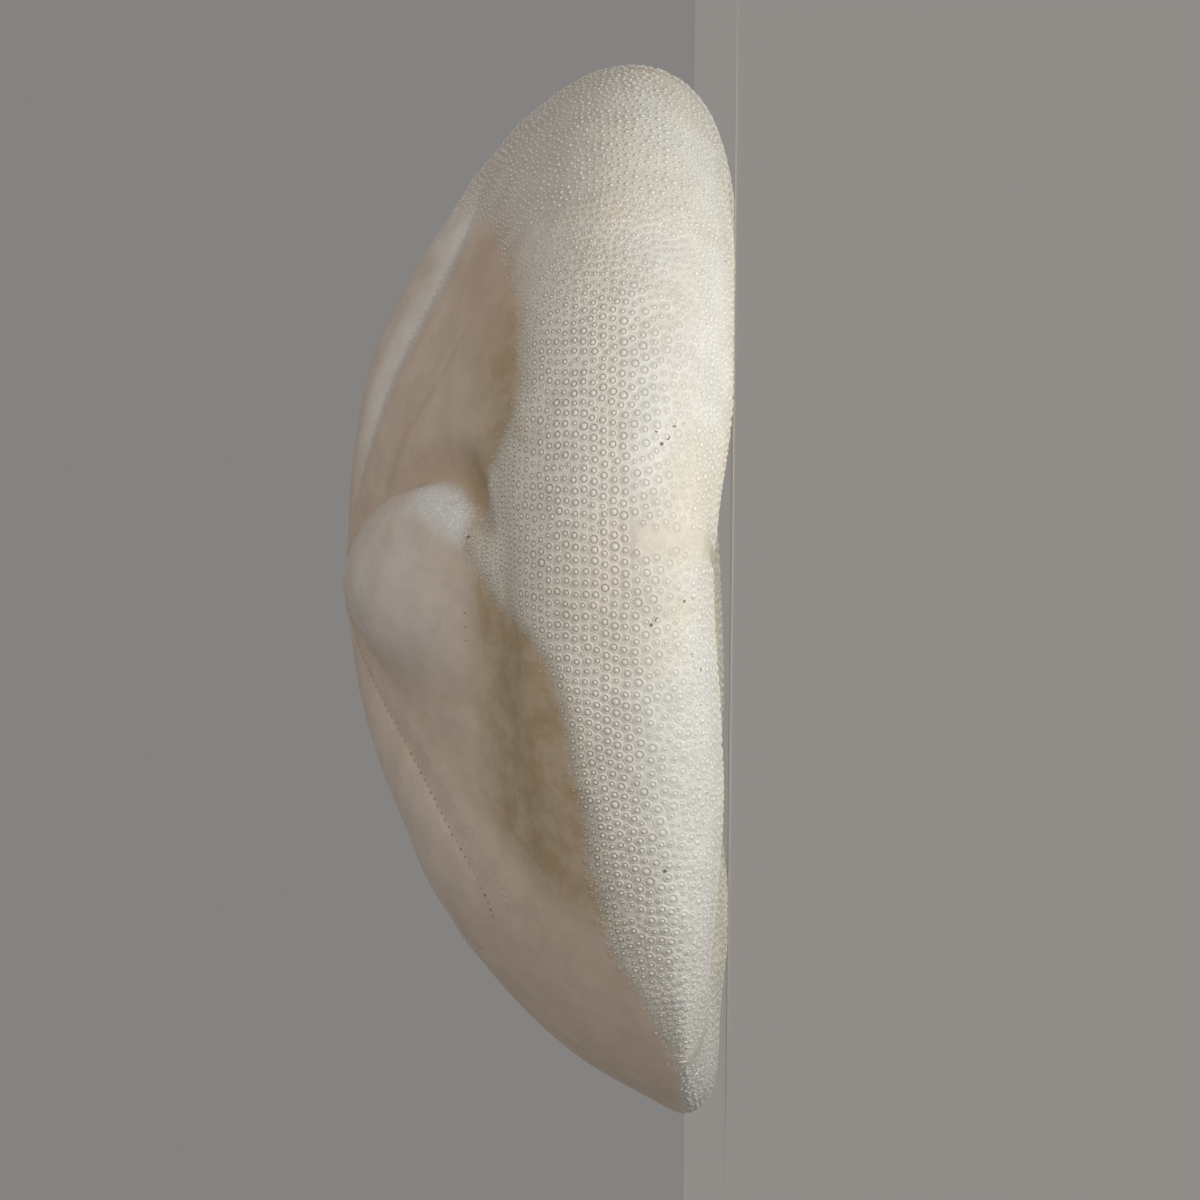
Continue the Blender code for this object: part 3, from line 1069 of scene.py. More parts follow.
        # Grooves of the small shapes darken as dirt and painted shade; bosses whiten as wear and
        # painted highlight
        groove = tree.attribute("groove", "Fac")
        share = tree.times(tree.times(groove, self.ring_strength), margin)
        colour = tree.mix_colour(share, colour, self.ring_dirt_and_shade)
        boss_wear_and_highlight = tree.grade(groove, 0.0, -1.0)
        colour = tree.mix_colour(boss_wear_and_highlight, colour, self.bright)
        deep_dirt_and_shade = tree.grade(groove, *self.deep_groove)
        colour = tree.mix_colour(tree.times(deep_dirt_and_shade, self.deep_strength), colour, self.dark)
        specks = tree.specks(place, *self.specks)
        share = tree.times(specks, tree.times(grit, tree.times(margin, self.speck_strength)))
        return tree.mix_colour(share, colour, self.dark)

    def relief(self, tree: "NodeTree", place: object) -> bpy.types.NodeSocket:
        """Height for the bump: granules, a chalky roughness and the striae of the pore bands."""
        grit = tree.attribute("grit", "Fac")
        granules = tree.times(tree.granules(place, self.granule_scale), grit)
        chalk = tree.times(tree.noise(place, *self.chalk), self.chalk_height)
        striae = tree.wave(tree.attribute("band_phase", "Fac"))
        striae = tree.times(striae, tree.attribute("band", "Fac"))
        return tree.plus(granules, tree.plus(chalk, tree.times(striae, self.striae_height)))


@dataclass
class NodeTree:
    """Short names for the nodes that the finish is made of."""

    tree: bpy.types.NodeTree

    def node(self, kind: str) -> bpy.types.Node:
        """A new node of that kind."""
        return self.tree.nodes.new(kind)

    def link(self, source: bpy.types.NodeSocket, target: bpy.types.NodeSocket) -> None:
        """Joins two sockets."""
        self.tree.links.new(source, target)

    def put(self, value: object, socket: bpy.types.NodeSocket) -> None:
        """Links a socket or sets a plain value."""
        if isinstance(value, bpy.types.NodeSocket):
            self.link(value, socket)
        elif isinstance(value, tuple):
            socket.default_value = (*value, 1.0)
        else:
            socket.default_value = value

    def attribute(self, name: str, output: str) -> bpy.types.NodeSocket:
        """A value kept at the mesh's points."""
        node = self.node("ShaderNodeAttribute")
        node.attribute_name = name
        return node.outputs[output]

    def math(self, operation: str, first: object, second: object = 0.0) -> bpy.types.NodeSocket:
        """One arithmetic step."""
        node = self.node("ShaderNodeMath")
        node.operation = operation
        self.put(first, node.inputs[0])
        self.put(second, node.inputs[1])
        return node.outputs[0]

    def times(self, first: object, second: object) -> bpy.types.NodeSocket:
        """Product."""
        return self.math("MULTIPLY", first, second)

    def plus(self, first: object, second: object) -> bpy.types.NodeSocket:
        """Sum."""
        return self.math("ADD", first, second)

    def wave(self, phase: bpy.types.NodeSocket) -> bpy.types.NodeSocket:
        """Sine of the phase."""
        return self.math("SINE", phase)

    def noise(
        self, place: object, scale: float, detail: float, rough: float, offset: float = 0.0
    ) -> bpy.types.NodeSocket:
        """Fractal noise with scale patches to the metre, shifted by offset metres."""
        node = self.node("ShaderNodeTexNoise")
        shift = self.node("ShaderNodeMapping")
        shift.inputs["Location"].default_value = (offset, offset, offset)
        self.link(place, shift.inputs["Vector"])
        self.link(shift.outputs["Vector"], node.inputs["Vector"])
        node.inputs["Scale"].default_value = scale
        node.inputs["Detail"].default_value = detail
        node.inputs["Roughness"].default_value = rough
        return node.outputs["Fac"]

    def clouds(self, place: object, clouds: Clouds) -> bpy.types.NodeSocket:
        """Noise of that kind, graded from 0 to 1."""
        noise = self.noise(place, clouds.scale, clouds.detail, clouds.rough, clouds.shift)
        return self.grade(noise, clouds.low, clouds.high)

    def granules(self, place: object, scale: float) -> bpy.types.NodeSocket:
        """Round grains, scale to the metre: 1 at each of scattered points and 0 between them."""
        node = self.node("ShaderNodeTexVoronoi")
        self.link(place, node.inputs["Vector"])
        node.inputs["Scale"].default_value = scale
        return self.grade(node.outputs["Distance"], 0.55, 0.10)

    def specks(
        self, place: object, scale: float, size: float, rarity: float
    ) -> bpy.types.NodeSocket:
        """1 within size of those scattered points whose own random number is over rarity."""
        node = self.node("ShaderNodeTexVoronoi")
        self.link(place, node.inputs["Vector"])
        node.inputs["Scale"].default_value = scale
        near = self.math("LESS_THAN", node.outputs["Distance"], size)
        split = self.node("ShaderNodeSeparateColor")
        self.link(node.outputs["Color"], split.inputs[0])
        chosen = self.math("GREATER_THAN", split.outputs[0], rarity)
        return self.times(near, chosen)

    def grade(self, value: object, low: float, high: float) -> bpy.types.NodeSocket:
        """Smooth 0 to 1 between low and high."""
        node = self.node("ShaderNodeMapRange")
        node.interpolation_type = "SMOOTHSTEP"
        self.put(value, node.inputs["Value"])
        node.inputs["From Min"].default_value = low
        node.inputs["From Max"].default_value = high
        return node.outputs["Result"]

    def span(self, value: object, low: float, high: float) -> bpy.types.NodeSocket:
        """Straight line from low at 0 to high at 1."""
        node = self.node("ShaderNodeMapRange")
        self.put(value, node.inputs["Value"])
        node.inputs["To Min"].default_value = low
        node.inputs["To Max"].default_value = high
        return node.outputs["Result"]

    def mix_colour(self, share: object, first: object, second: object) -> bpy.types.NodeSocket:
        """Mixes the second colour into the first."""
        node = self.node("ShaderNodeMix")
        node.data_type = "RGBA"
        self.put(share, node.inputs["Factor"])
        self.put(first, node.inputs[MIX_A])
        self.put(second, node.inputs[MIX_B])
        return node.outputs[MIX_RESULT]

    def scale_colour(self, colour: object, by: object) -> bpy.types.NodeSocket:
        """Makes a colour brighter or darker."""
        node = self.node("ShaderNodeVectorMath")
        node.operation = "SCALE"
        self.put(colour, node.inputs[0])
        self.put(by, node.inputs["Scale"])
        return node.outputs[0]


@dataclass
class Skin:
    """The smooth calcite surface of the test, closed at the crown and in the mouth pit."""

    columns: int = 490
    rows: int = 200

    def build(
        self, form: TestForm, finish: ShellFinish, material: bpy.types.Material
    ) -> SurfaceGrid:
        """Makes the skin, which stands for the solid.

        Args:
            form: The form of the test.
            finish: The finish that gives the point colours.
            material: The finish's material.

        Returns:
            The surface grid that the skin was made of, which the small pieces are laid on.
        """
        grid = make_grid(form, self.columns, self.rows)
        rows, columns = grid.points.shape[:2]
        poles = np.stack([grid.points[0].mean(axis=0), grid.points[-1].mean(axis=0)])
        vertices = np.concatenate([grid.points.reshape(-1, 3), poles])
        index = np.arange(rows * columns).reshape(rows, columns)
        nxt = np.roll(index, -1, axis=1)
        quads = np.stack([index[:-1], index[1:], nxt[1:], nxt[:-1]], axis=2).reshape(-1, 4)
        top = np.full(columns, rows * columns)
        crown = np.stack([top, index[0], nxt[0]], axis=1)
        pit = np.stack([top + 1, nxt[-1], index[-1]], axis=1)
        mesh = make_mesh("test_skin", vertices, quads, np.concatenate([crown, pit]))
        flat = self.flat_zones(grid)
        put_attributes(mesh, finish.tint(flat), finish.numbers(flat, np.zeros(len(vertices))))
        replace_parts(add_piece("test_skin", mesh, material), NODE)
        return grid

    def flat_zones(self, grid: SurfaceGrid) -> Zones:
        """The grid's zones in the order of the mesh's points, with the two poles at the end."""
        flat = []
        for name in Zones.names():
            values = getattr(grid.zones, name)
            flat.append(np.concatenate([values.ravel(), [values[0].mean(), values[-1].mean()]]))
        return Zones(*flat)


@dataclass(frozen=True)
class PatchShape:
    """A small turned shape: rings of (share of the radius, height, darkness) round a middle."""

    # Darkness above 0 darkens the colour as dirt and painted shade; below 0 it whitens a boss as
    # wear and painted highlight
    middle: tuple
    rings: tuple
    sectors: int = 8
    stretch: float = 1.0

    def place(self, spots: "Spots") -> tuple:
        """Lays a copy of the shape at each spot, as arrays.

        A point of ring k at the angle a is centre + radius * share_k * (cos a * t + sin a *
        stretch * s) + lift * height_k * normal, where t is level, s points up the surface and a
        starts at the spot's own turn.

        Args:
            spots: Where the copies lie, and how large and high they are.

        Returns:
            Points, quads, triangles, and the darkness and the copy's number at each point.
        """
        count = len(spots.centre)
        normal = spots.normal
        helper = np.where(np.abs(normal[:, 2:3]) < 0.97, [[0.0, 0.0, 1.0]], [[1.0, 0.0, 0.0]])
        level = np.cross(helper, normal)
        level /= np.linalg.norm(level, axis=1, keepdims=True)
        upward = np.cross(normal, level) * self.stretch
        angle = spots.turn[:, None] + np.arange(self.sectors) * TURN / self.sectors
        outward = np.cos(angle)[..., None] * level[:, None]
        outward = outward + np.sin(angle)[..., None] * upward[:, None]
        share, height, dark = np.array(self.rings).T
        ring = (
            spots.centre[:, None, None]
            + spots.radius[:, None, None, None] * share[None, :, None, None] * outward[:, None]
            + (spots.lift[:, None] * height)[:, :, None, None] * normal[:, None, None]
        )
        apex = spots.centre + (spots.lift * self.middle[0])[:, None] * normal
        vertices = np.concatenate([apex[:, None], ring.reshape(count, -1, 3)], axis=1)
        per_copy = vertices.shape[1]
        local = 1 + np.arange(len(share) * self.sectors).reshape(len(share), self.sectors)
        nxt = np.roll(local, -1, axis=1)
        quads = np.stack([local[:-1], local[1:], nxt[1:], nxt[:-1]], axis=2).reshape(-1, 4)
        fan = np.stack([np.zeros(self.sectors, int), local[0], nxt[0]], axis=1)
        start = (np.arange(count) * per_copy)[:, None, None]
        darkness = np.concatenate([[self.middle[1]], np.repeat(dark, self.sectors)])
        return (
            vertices.reshape(-1, 3),
            (quads[None] + start).reshape(-1, 4),
            (fan[None] + start).reshape(-1, 3),
            (spots.darkness[:, None] * darkness).ravel(),
            np.repeat(np.arange(count), per_copy),
        )

    def build(
        self, name: str, spots: "Spots", finish: ShellFinish, material: bpy.types.Material
    ) -> None:
        """Makes one piece of a copy of the shape at each spot, unless there is none."""
        if not len(spots.centre):
            return
        vertices, quads, triangles, dark, copy = self.place(spots)
        mesh = make_mesh(name, vertices, quads, triangles)
        tint = finish.tint(spots.zones)
        tint = tint * (1 - spots.stain[:, None]) + spots.stain_colour * spots.stain[:, None]
        numbers = finish.numbers(spots.zones, np.zeros(len(spots.centre)))
        numbers = {key: values[copy] for key, values in numbers.items()}
        numbers["band"] = np.zeros(len(copy))
        numbers["groove"] = dark
        put_attributes(mesh, tint[copy], numbers)
        add_piece(name, mesh, material)


@dataclass
class Spots:
    """Places on the surface at which small shapes are laid."""

    centre: Array
    normal: Array
    radius: Array
    lift: Array
    darkness: Array
    turn: Array
    zones: Zones
    stain: Array
    stain_colour: Array

    @classmethod
    def on(
        cls, grid: SurfaceGrid, angle: Array, sample: Array, radius: Array, rng: object
    ) -> "Spots":
        """Spots of full height and darkness at the given directions and places on the meridian."""
        normal = grid.read(grid.normals, angle, sample)
        normal = normal / np.linalg.norm(normal, axis=1, keepdims=True)
        return cls(
            centre=grid.read(grid.points, angle, sample),
            normal=normal,
            radius=radius,
            lift=np.ones(len(angle)),
            darkness=np.ones(len(angle)),
            turn=rng.uniform(0, TURN, len(angle)),
            zones=grid.zones_at(angle, sample),
            stain=np.zeros(len(angle)),
            stain_colour=np.zeros(3),
        )

    def pick(self, chosen: Array) -> "Spots":
        """Only the chosen spots."""
        zones = Zones(*(getattr(self.zones, name)[chosen] for name in Zones.names()))
        return Spots(
            self.centre[chosen], self.normal[chosen], self.radius[chosen], self.lift[chosen],
            self.darkness[chosen], self.turn[chosen], zones, self.stain[chosen], self.stain_colour,
        )


class Area(Enum):
    """The areas that the tubercles are parted into, one piece each."""

    FRONT = "front_margin"
    RIGHT = "right_margin"
    LEFT = "left_margin"
    BACK = "back_margin"
    MOUTH_FRONT = "mouth_side_front"
    MOUTH_BACK = "mouth_side_back"
    PETAL_TIPS = "petal_tips"


@dataclass
class Tubercles:
    """Bosses that the spines stood on. On the sides each has a sunken ring with a raised rim."""

    # Darkness column: dirt and painted shade in the ring's groove; below 0 the boss whitens as wear
    # and painted highlight
    ringed_shape: PatchShape = PatchShape(
        middle=(0.155 * MM, -0.55),
        rings=(
            (0.26, 0.135 * MM, -0.45),
            (0.43, 0.045 * MM, 0.45),
            (0.58, 0.03 * MM, 0.95),
            (0.78, 0.11 * MM, -0.25),
            (1.14, -0.03 * MM, 0.0),
        ),
        sectors=9,
    )
    plain_shape: PatchShape = PatchShape(
        middle=(0.18 * MM, -1.2),
        rings=(
            (0.34, 0.13 * MM, -0.8),
            (0.60, 0.0, 1.05),
            (0.80, 0.04 * MM, 0.0),
            (1.0, -0.03 * MM, 0.0),
        ),
        sectors=7,
    )
    mouth_sectors: int = 6
    row_pitch: float = 0.87
    least_studded: float = 0.02
    jitter: tuple = (0.34, 0.16)
    rounds: int = 5
    reach: float = 1.16
    push: float = 0.32
    block: int = 512
    seed: int = 42

    # A place is kept where the studded share is over a number from this range. The radius is a
    # share of the nearest neighbour's distance, between two shares of the wanted spacing
    keep_range: tuple = (0.30, 0.85)
    size_shares: tuple = (0.53, 0.36, 0.55)
    size_spread: tuple = (0.17, 0.12)

    # Height by radius, and what it gains at the front and back ends, by the direction's cosine
    full_size: float = 0.55 * MM
    lift_range: tuple = (0.3, 1.1)
    end_lift: tuple = (0.25, 0.5)
    lift_front: tuple = (0.2, 0.7)
    lift_back: tuple = (0.1, 0.6)

    # Darkness of the rings, as dirt and painted shade, which is less where the margin thins out
    ringed_limit: float = 0.08
    ringed_darkness: tuple = (0.56, 0.44)
    plain_darkness: float = 0.67
    thin_darkness: tuple = (0.35, 0.65)

    # Ends of the areas: two cosines, the way past the widest line, and the share of the white tips
    front_line: float = 0.6
    back_line: float = -0.75
    past_ambitus: float = 0.03
    tip_line: float = 0.25

    def scatter(self, grid: SurfaceGrid) -> tuple[Array, Array]:
        """Places in rows round the test, half a step apart in turn.

        On every meridian a row lies where the running sum of step length over row pitch,
        counted from the widest line, passes a whole number. Along a row the places are where the
        running sum of step length over spacing passes whole numbers.

        Args:
            grid: The surface with its spacing.

        Returns:
            Directions and places on the meridian.
        """
        step = np.linalg.norm(np.gradient(grid.points, axis=0), axis=2)
        passed = np.cumsum(step / (grid.zones.spacing * self.row_pitch), axis=0)
        passed = passed - passed[len(passed) // 2]
        column = np.arange(len(grid.angles))
        turn = np.append(grid.angles, TURN)
        angles, samples = [], []
        for number in range(math.ceil(passed[0].min()), int(passed[-1].max())):
            after = np.clip((passed > number).argmax(axis=0), 1, None)
            before = passed[after - 1, column]
            share = np.clip((number - before) / (passed[after, column] - before), 0, 1)
            start = grid.samples[after - 1]
            level = start + share * (grid.samples[after] - start)
            if grid.read(grid.zones.studded, grid.angles, level).max() < self.least_studded:
                continue
            ring = grid.read(grid.points, grid.angles, level)
            steps = np.linalg.norm(np.roll(ring, -1, axis=0) - ring, axis=1)
            wanted = grid.read(grid.zones.spacing, grid.angles, level)
            along = np.append(0.0, np.cumsum(steps / wanted))
            count = int(round(along[-1]))
            if count < 6:
                continue
            place = ((np.arange(count) + 0.5 * (number % 2)) / count % 1.0) * along[-1]
            angles.append(np.interp(place, along, turn))
            samples.append(np.interp(angles[-1], turn, np.append(level, level[0])))
        angle, sample = np.concatenate(angles), np.concatenate(samples)
        keep = grid.read(grid.zones.studded, angle, sample) > self.least_studded
        return angle[keep], sample[keep]

    def pushes(self, points: Array, spacing: Array) -> tuple[Array, Array]:
        """How neighbours push each point away: the sum of unit gaps times 1 - distance / reach.

        Args:
            points: The places, one row each.
            spacing: The wanted distance at each place.

        Returns:
            The push on each point, and the distance of its nearest neighbour.
        """
        order = np.argsort(points[:, 0])
        ranked = points[order]
        push, nearest = np.zeros_like(points), np.zeros(len(points))
        for start in range(0, len(points), self.block):
            rows = order[start : start + self.block]
            here, wanted = points[rows], spacing[rows, None]
            edges = (here[:, 0].min() - 3 * MM, here[:, 0].max() + 3 * MM)
            low, high = np.searchsorted(ranked[:, 0], edges)
            gap = here[:, None] - ranked[None, low:high]
            distance = np.linalg.norm(gap, axis=2)
            distance[distance < 1e-9] = 1.0
            force = np.clip(1 - distance / (self.reach * wanted), 0, None) / distance
            push[rows] = np.einsum("ij,ijk->ik", force, gap) * wanted * self.push
            nearest[rows] = distance.min(axis=1)
        return push, nearest

    def settle(self, grid: SurfaceGrid, angle: Array, sample: Array) -> tuple[Array, Array, Array]:
        """Shakes the places, and lets them push each other along the surface until they lie evenly.

        Args:
            grid: The surface.
            angle: Directions.
            sample: Places on the meridian.

        Returns:
            The new directions and places, and the distance of each place's nearest neighbour.
        """
        around, down = grid.slopes()
        rng = np.random.default_rng(self.seed)
        for number in range(self.rounds + 1):
            spacing = grid.read(grid.zones.spacing, angle, sample)
            if number == 0:
                ringed = grid.read(grid.zones.ringed, angle, sample)
                loose = self.jitter[0] + (self.jitter[1] - self.jitter[0]) * ringed
                push = rng.normal(0, 1, (len(angle), 3)) * (loose * spacing)[:, None]
            else:
                push, _ = self.pushes(grid.read(grid.points, angle, sample), spacing)
            a, d = grid.read(around, angle, sample), grid.read(down, angle, sample)
            angle = (angle + (push * a).sum(axis=1) / (a * a).sum(axis=1)) % TURN
            sample = np.clip(sample + (push * d).sum(axis=1) / (d * d).sum(axis=1), 0.01, 0.99)
        spacing = grid.read(grid.zones.spacing, angle, sample)
        _, nearest = self.pushes(grid.read(grid.points, angle, sample), spacing)
        return angle, sample, nearest

    def build(
        self, form: TestForm, grid: SurfaceGrid, finish: ShellFinish, material: bpy.types.Material
    ) -> None:
        """Makes the ringed and the plain tubercles of each area."""
        rng = np.random.default_rng(self.seed + 1)
        angle, sample, nearest = self.settle(grid, *self.scatter(grid))
        needed = rng.uniform(*self.keep_range, len(angle))
        keep = grid.read(grid.zones.studded, angle, sample) > needed
        angle, sample, nearest = angle[keep], sample[keep], nearest[keep]
        spacing = grid.read(grid.zones.spacing, angle, sample)
        share, least, most = self.size_shares
        size = np.clip(nearest * share, least * spacing, most * spacing)
        ringed = grid.read(grid.zones.ringed, angle, sample)
        spread = self.size_spread[0] + (self.size_spread[1] - self.size_spread[0]) * ringed
        size = size * np.exp(rng.normal(0, 1, len(angle)) * spread)
        spots = Spots.on(grid, angle, sample, size, rng)
        spots.lift = self.lift(form, angle, sample, size)
        spots.darkness = self.darkness(spots.zones, ringed)
        ringed = ringed > self.ringed_limit
        area = self.area_of(form, angle, sample, spots)
        for number, place in enumerate(Area):
            inside = area == number
            plain = self.plain_shape
            if place in (Area.MOUTH_FRONT, Area.MOUTH_BACK):
                plain = replace(plain, sectors=self.mouth_sectors)
            name = "tubercles_" + place.value
            self.ringed_shape.build("ringed_" + name, spots.pick(inside & ringed), finish, material)
            plain.build(name, spots.pick(inside & ~ringed), finish, material)

    def lift(self, form: TestForm, angle: Array, sample: Array, size: Array) -> Array:
        """Height of each tubercle by its radius, with the gain at both ends of the upper side."""
        at_front, at_back = self.end_lift
        ends = at_front * smooth_step(np.cos(angle), *self.lift_front)
        ends = ends + at_back * smooth_step(-np.cos(angle), *self.lift_back)
        above = sample < form.ambitus() + self.past_ambitus
        return np.clip(size / self.full_size, *self.lift_range) * (1 + ends * above)

    def darkness(self, zones: Zones, ringed: Array) -> Array:
        """Darkness of each tubercle's ring, as dirt and painted shade, by how far it is a ringed
        one.
        """
        low, gain = self.thin_darkness
        sure = low + gain * np.minimum(2 * np.maximum(zones.margin, zones.tip), 1)
        low, gain = self.ringed_darkness
        shade = np.where(ringed > self.ringed_limit, low + gain * ringed, self.plain_darkness)
        return shade * sure

    def area_of(self, form: TestForm, angle: Array, sample: Array, spots: Spots) -> Array:
        """Number of the area that each spot belongs to."""
        number = {place: index for index, place in enumerate(Area)}
        margin_side = np.select(
            [np.cos(angle) > self.front_line, np.cos(angle) < self.back_line, np.sin(angle) < 0],
            [number[Area.FRONT], number[Area.BACK], number[Area.RIGHT]],
            number[Area.LEFT],
        )
        mouth_side = np.where(np.cos(angle) > 0, number[Area.MOUTH_FRONT], number[Area.MOUTH_BACK])
        above = sample < form.ambitus() + self.past_ambitus
        area = np.where(above, margin_side, mouth_side)
        return np.where(spots.zones.tip > self.tip_line, number[Area.PETAL_TIPS], area)


@dataclass
class Pores:
    """The double rows of tube-foot pores along each petal, and the openings on the crown."""

    # The dark middle stands for the pore's hole: painted shade
    shape: PatchShape = PatchShape(
        middle=(0.012 * MM, 1.0),
        rings=((0.55, 0.016 * MM, 1.0), (0.85, 0.045 * MM, 0.25), (1.3, -0.03 * MM, 0.0)),
        sectors=6,
    )
    spacing: float = 0.9 * MM
    inner_radius: float = 0.20 * MM
    outer_radius: float = 0.15 * MM
    radius_spread: float = 0.12
    outer_darkness: float = 0.42
    outer_place: tuple = (0.8, 0.6)
    outer_rust: float = 0.4
    least_darkness: tuple = (0.15, 0.85)
    rust_strength: float = 0.45
    tip_limit: float = 0.3
    comes_up: tuple = (0.42, 0.58)
    end_share: float = 0.42
    gonopore_ring: float = 3.0 * MM
    gonopore_radius: float = 0.32 * MM
    rust: tuple = (0.34, 0.18, 0.085)
    seed: int = 7

    # Darkness of each petal's inner row on its -1 and +1 side, painted shade in the pores, and
    # share of rust, by direction
    strengths: tuple = (
        (0.0, 0.85, 0.85, 0.0), (75.0, 0.30, 0.35, 0.1), (144.0, 0.9, 0.9, 0.9),
        (216.0, 0.9, 0.9, 0.9), (285.0, 0.35, 0.30, 0.1),
    )

    def rows(self, form: TestForm) -> tuple[Array, Array, Array, Array, Array]:
        """Follows the lines inner = 1 and outer = 1 of each petal in steps of arc length.

        Args:
            form: The form of the test.

        Returns:
            Directions, distances from the crown's axis, radii, darkness and rust shares.
        """
        found = []
        reach = np.linspace(0.10, 1.0, 400)
        for petal, (direction, low_side, high_side, rusty) in zip(form.petals, self.strengths):
            length, breadth, _, blunt_side = petal[1:]
            for side, dark in ((-1, low_side), (1, high_side)):
                for is_outer in (False, True):
                    quiet = abs(blunt_side) * float(side != blunt_side)
                    wider, longer = (is_outer * share for share in self.outer_place)
                    half = form.petal_half(reach, breadth, quiet)
                    band = wider * form.band_width * smooth_step(reach, 0.0, 0.45)
                    half = half + band
                    along = reach * (length + longer * form.band_end)
                    across = side * half * np.sqrt(np.clip(1 - reach**form.end_power, 0, 1))
                    run = np.append(0, np.cumsum(np.hypot(np.diff(along), np.diff(across))))
                    place = np.arange(0, run[-1], self.spacing)
                    a, b = np.interp(place, run, along), np.interp(place, run, across)
                    flank = (np.abs(b) > self.end_share * breadth) | (a < 0.5 * length)
                    a, b = a[flank], b[flank]
                    turn = math.radians(direction)
                    x = a * math.cos(turn) - b * math.sin(turn)
                    y = a * math.sin(turn) + b * math.cos(turn)
                    radius = np.full(len(x), self.outer_radius if is_outer else self.inner_radius)
                    darkness = dark * (self.outer_darkness if is_outer else 1.0) * np.ones(len(x))
                    low, gain = self.least_darkness
                    darkness = darkness * (low + gain * smooth_step(a / length, *self.comes_up))
                    rust = np.full(len(x), rusty * (self.outer_rust if is_outer else 1.0))
                    row = [np.arctan2(y, x), np.hypot(x, y), radius, darkness, rust]
                    found.append(np.stack(row))
        return tuple(np.concatenate(found, axis=1))

    def build(
        self, form: TestForm, grid: SurfaceGrid, finish: ShellFinish, material: bpy.types.Material
    ) -> None:
        """Makes the petal pores and the gonopores, one piece each."""
        rng = np.random.default_rng(self.seed)
        angle, distance, radius, darkness, rust = self.rows(form)
        sample = self.meridian_place(form, angle, distance)
        radius = radius * np.exp(rng.normal(0, self.radius_spread, len(radius)))
        spots = Spots.on(grid, angle, sample, radius, rng)
        spots.darkness = darkness * (1 - smooth_step(spots.zones.tip, 0.0, self.tip_limit))
        spots.stain, spots.stain_colour = rust * self.rust_strength, np.array(self.rust)
        self.shape.build("petal_pores", spots, finish, material)
        angle = math.radians(36) + np.arange(5) * form.sector
        sample = self.meridian_place(form, angle, np.full(5, self.gonopore_ring))
        spots = Spots.on(grid, angle, sample, np.full(5, self.gonopore_radius), rng)
        self.shape.build("gonopores", spots, finish, material)

    def meridian_place(self, form: TestForm, angle: Array, distance: Array) -> Array:
        """Place on the meridian of the upper side that lies at that distance from the axis."""
        samples = np.linspace(0, form.ambitus(), 600)
        share = hermite_weights(samples, form.knots()) @ np.array(form.stations)[:, 1, 0]
        return np.interp(distance / form.plan_radius(angle), share, samples)


@dataclass
class Blemishes:
    """Small dark pits and short chalky streaks that this test happens to have.

    Each is given by its direction in degrees, its height and its radius in millimetres.
    """

    pit: PatchShape = PatchShape(
        middle=(0.05 * MM, 1.0),
        rings=((0.6, 0.06 * MM, 1.0), (0.9, 0.08 * MM, 0.5), (1.3, -0.03 * MM, 0.0)),
        sectors=7,
    )
    streak: PatchShape = PatchShape(
        middle=(0.14 * MM, 0.0),
        rings=((0.5, 0.11 * MM, 0.0), (0.85, 0.04 * MM, 0.0), (1.1, -0.04 * MM, 0.0)),
        sectors=8,
        stretch=3.4,
    )
    pits: tuple = (
        (-81.7, 9.4, 0.42), (-82.4, 9.9, 0.28), (-115.5, 8.0, 0.32), (-59.2, 8.0, 0.42),
        (-60.1, 8.9, 0.30), (-57.6, 7.3, 0.30), (-58.6, 9.3, 0.24), (-86.5, 4.8, 0.28),
        (-88.6, 3.6, 0.24), (-79.4, 5.6, 0.24), (-69.0, 1.9, 0.26), (-68.8, 30.8, 0.40),
        (-82.0, 31.35, 0.14), (-84.6, 31.35, 0.12), (-87.2, 31.3, 0.12),
    )
    streaks: tuple = (
        (-143.2, 5.9, 0.24), (-144.3, 5.2, 0.20), (-149.8, 3.6, 0.22), (-151.0, 3.1, 0.18),
        (-140.6, 6.6, 0.16), (-147.2, 4.6, 0.14),
    )
    chalk: tuple = (0.84, 0.83, 0.79)
    seed: int = 3

    def build(self, grid: SurfaceGrid, finish: ShellFinish, material: bpy.types.Material) -> None:
        """Finds each place on its meridian and lays a pit or a streak there."""
        pits = self.spots(grid, self.pits)
        self.pit.build("pits", pits, finish, material)
        streaks = self.spots(grid, self.streaks)
        streaks.turn = streaks.turn * 0.0
        streaks.stain, streaks.stain_colour = streaks.stain + 0.7, np.array(self.chalk)
        self.streak.build("chalk_streaks", streaks, finish, material)

    def spots(self, grid: SurfaceGrid, places: tuple) -> Spots:
        """Spots where each place's meridian first comes down to its height."""
        direction, height, radius = np.array(places).T
        angle = np.radians(direction) % TURN
        column = np.round(angle / TURN * len(grid.angles)).astype(int) % len(grid.angles)
        meridians = grid.points[:, column, 2]
        sample = grid.samples[np.argmax(meridians < height * MM, axis=0)]
        return Spots.on(grid, angle, sample, radius * MM, np.random.default_rng(self.seed))


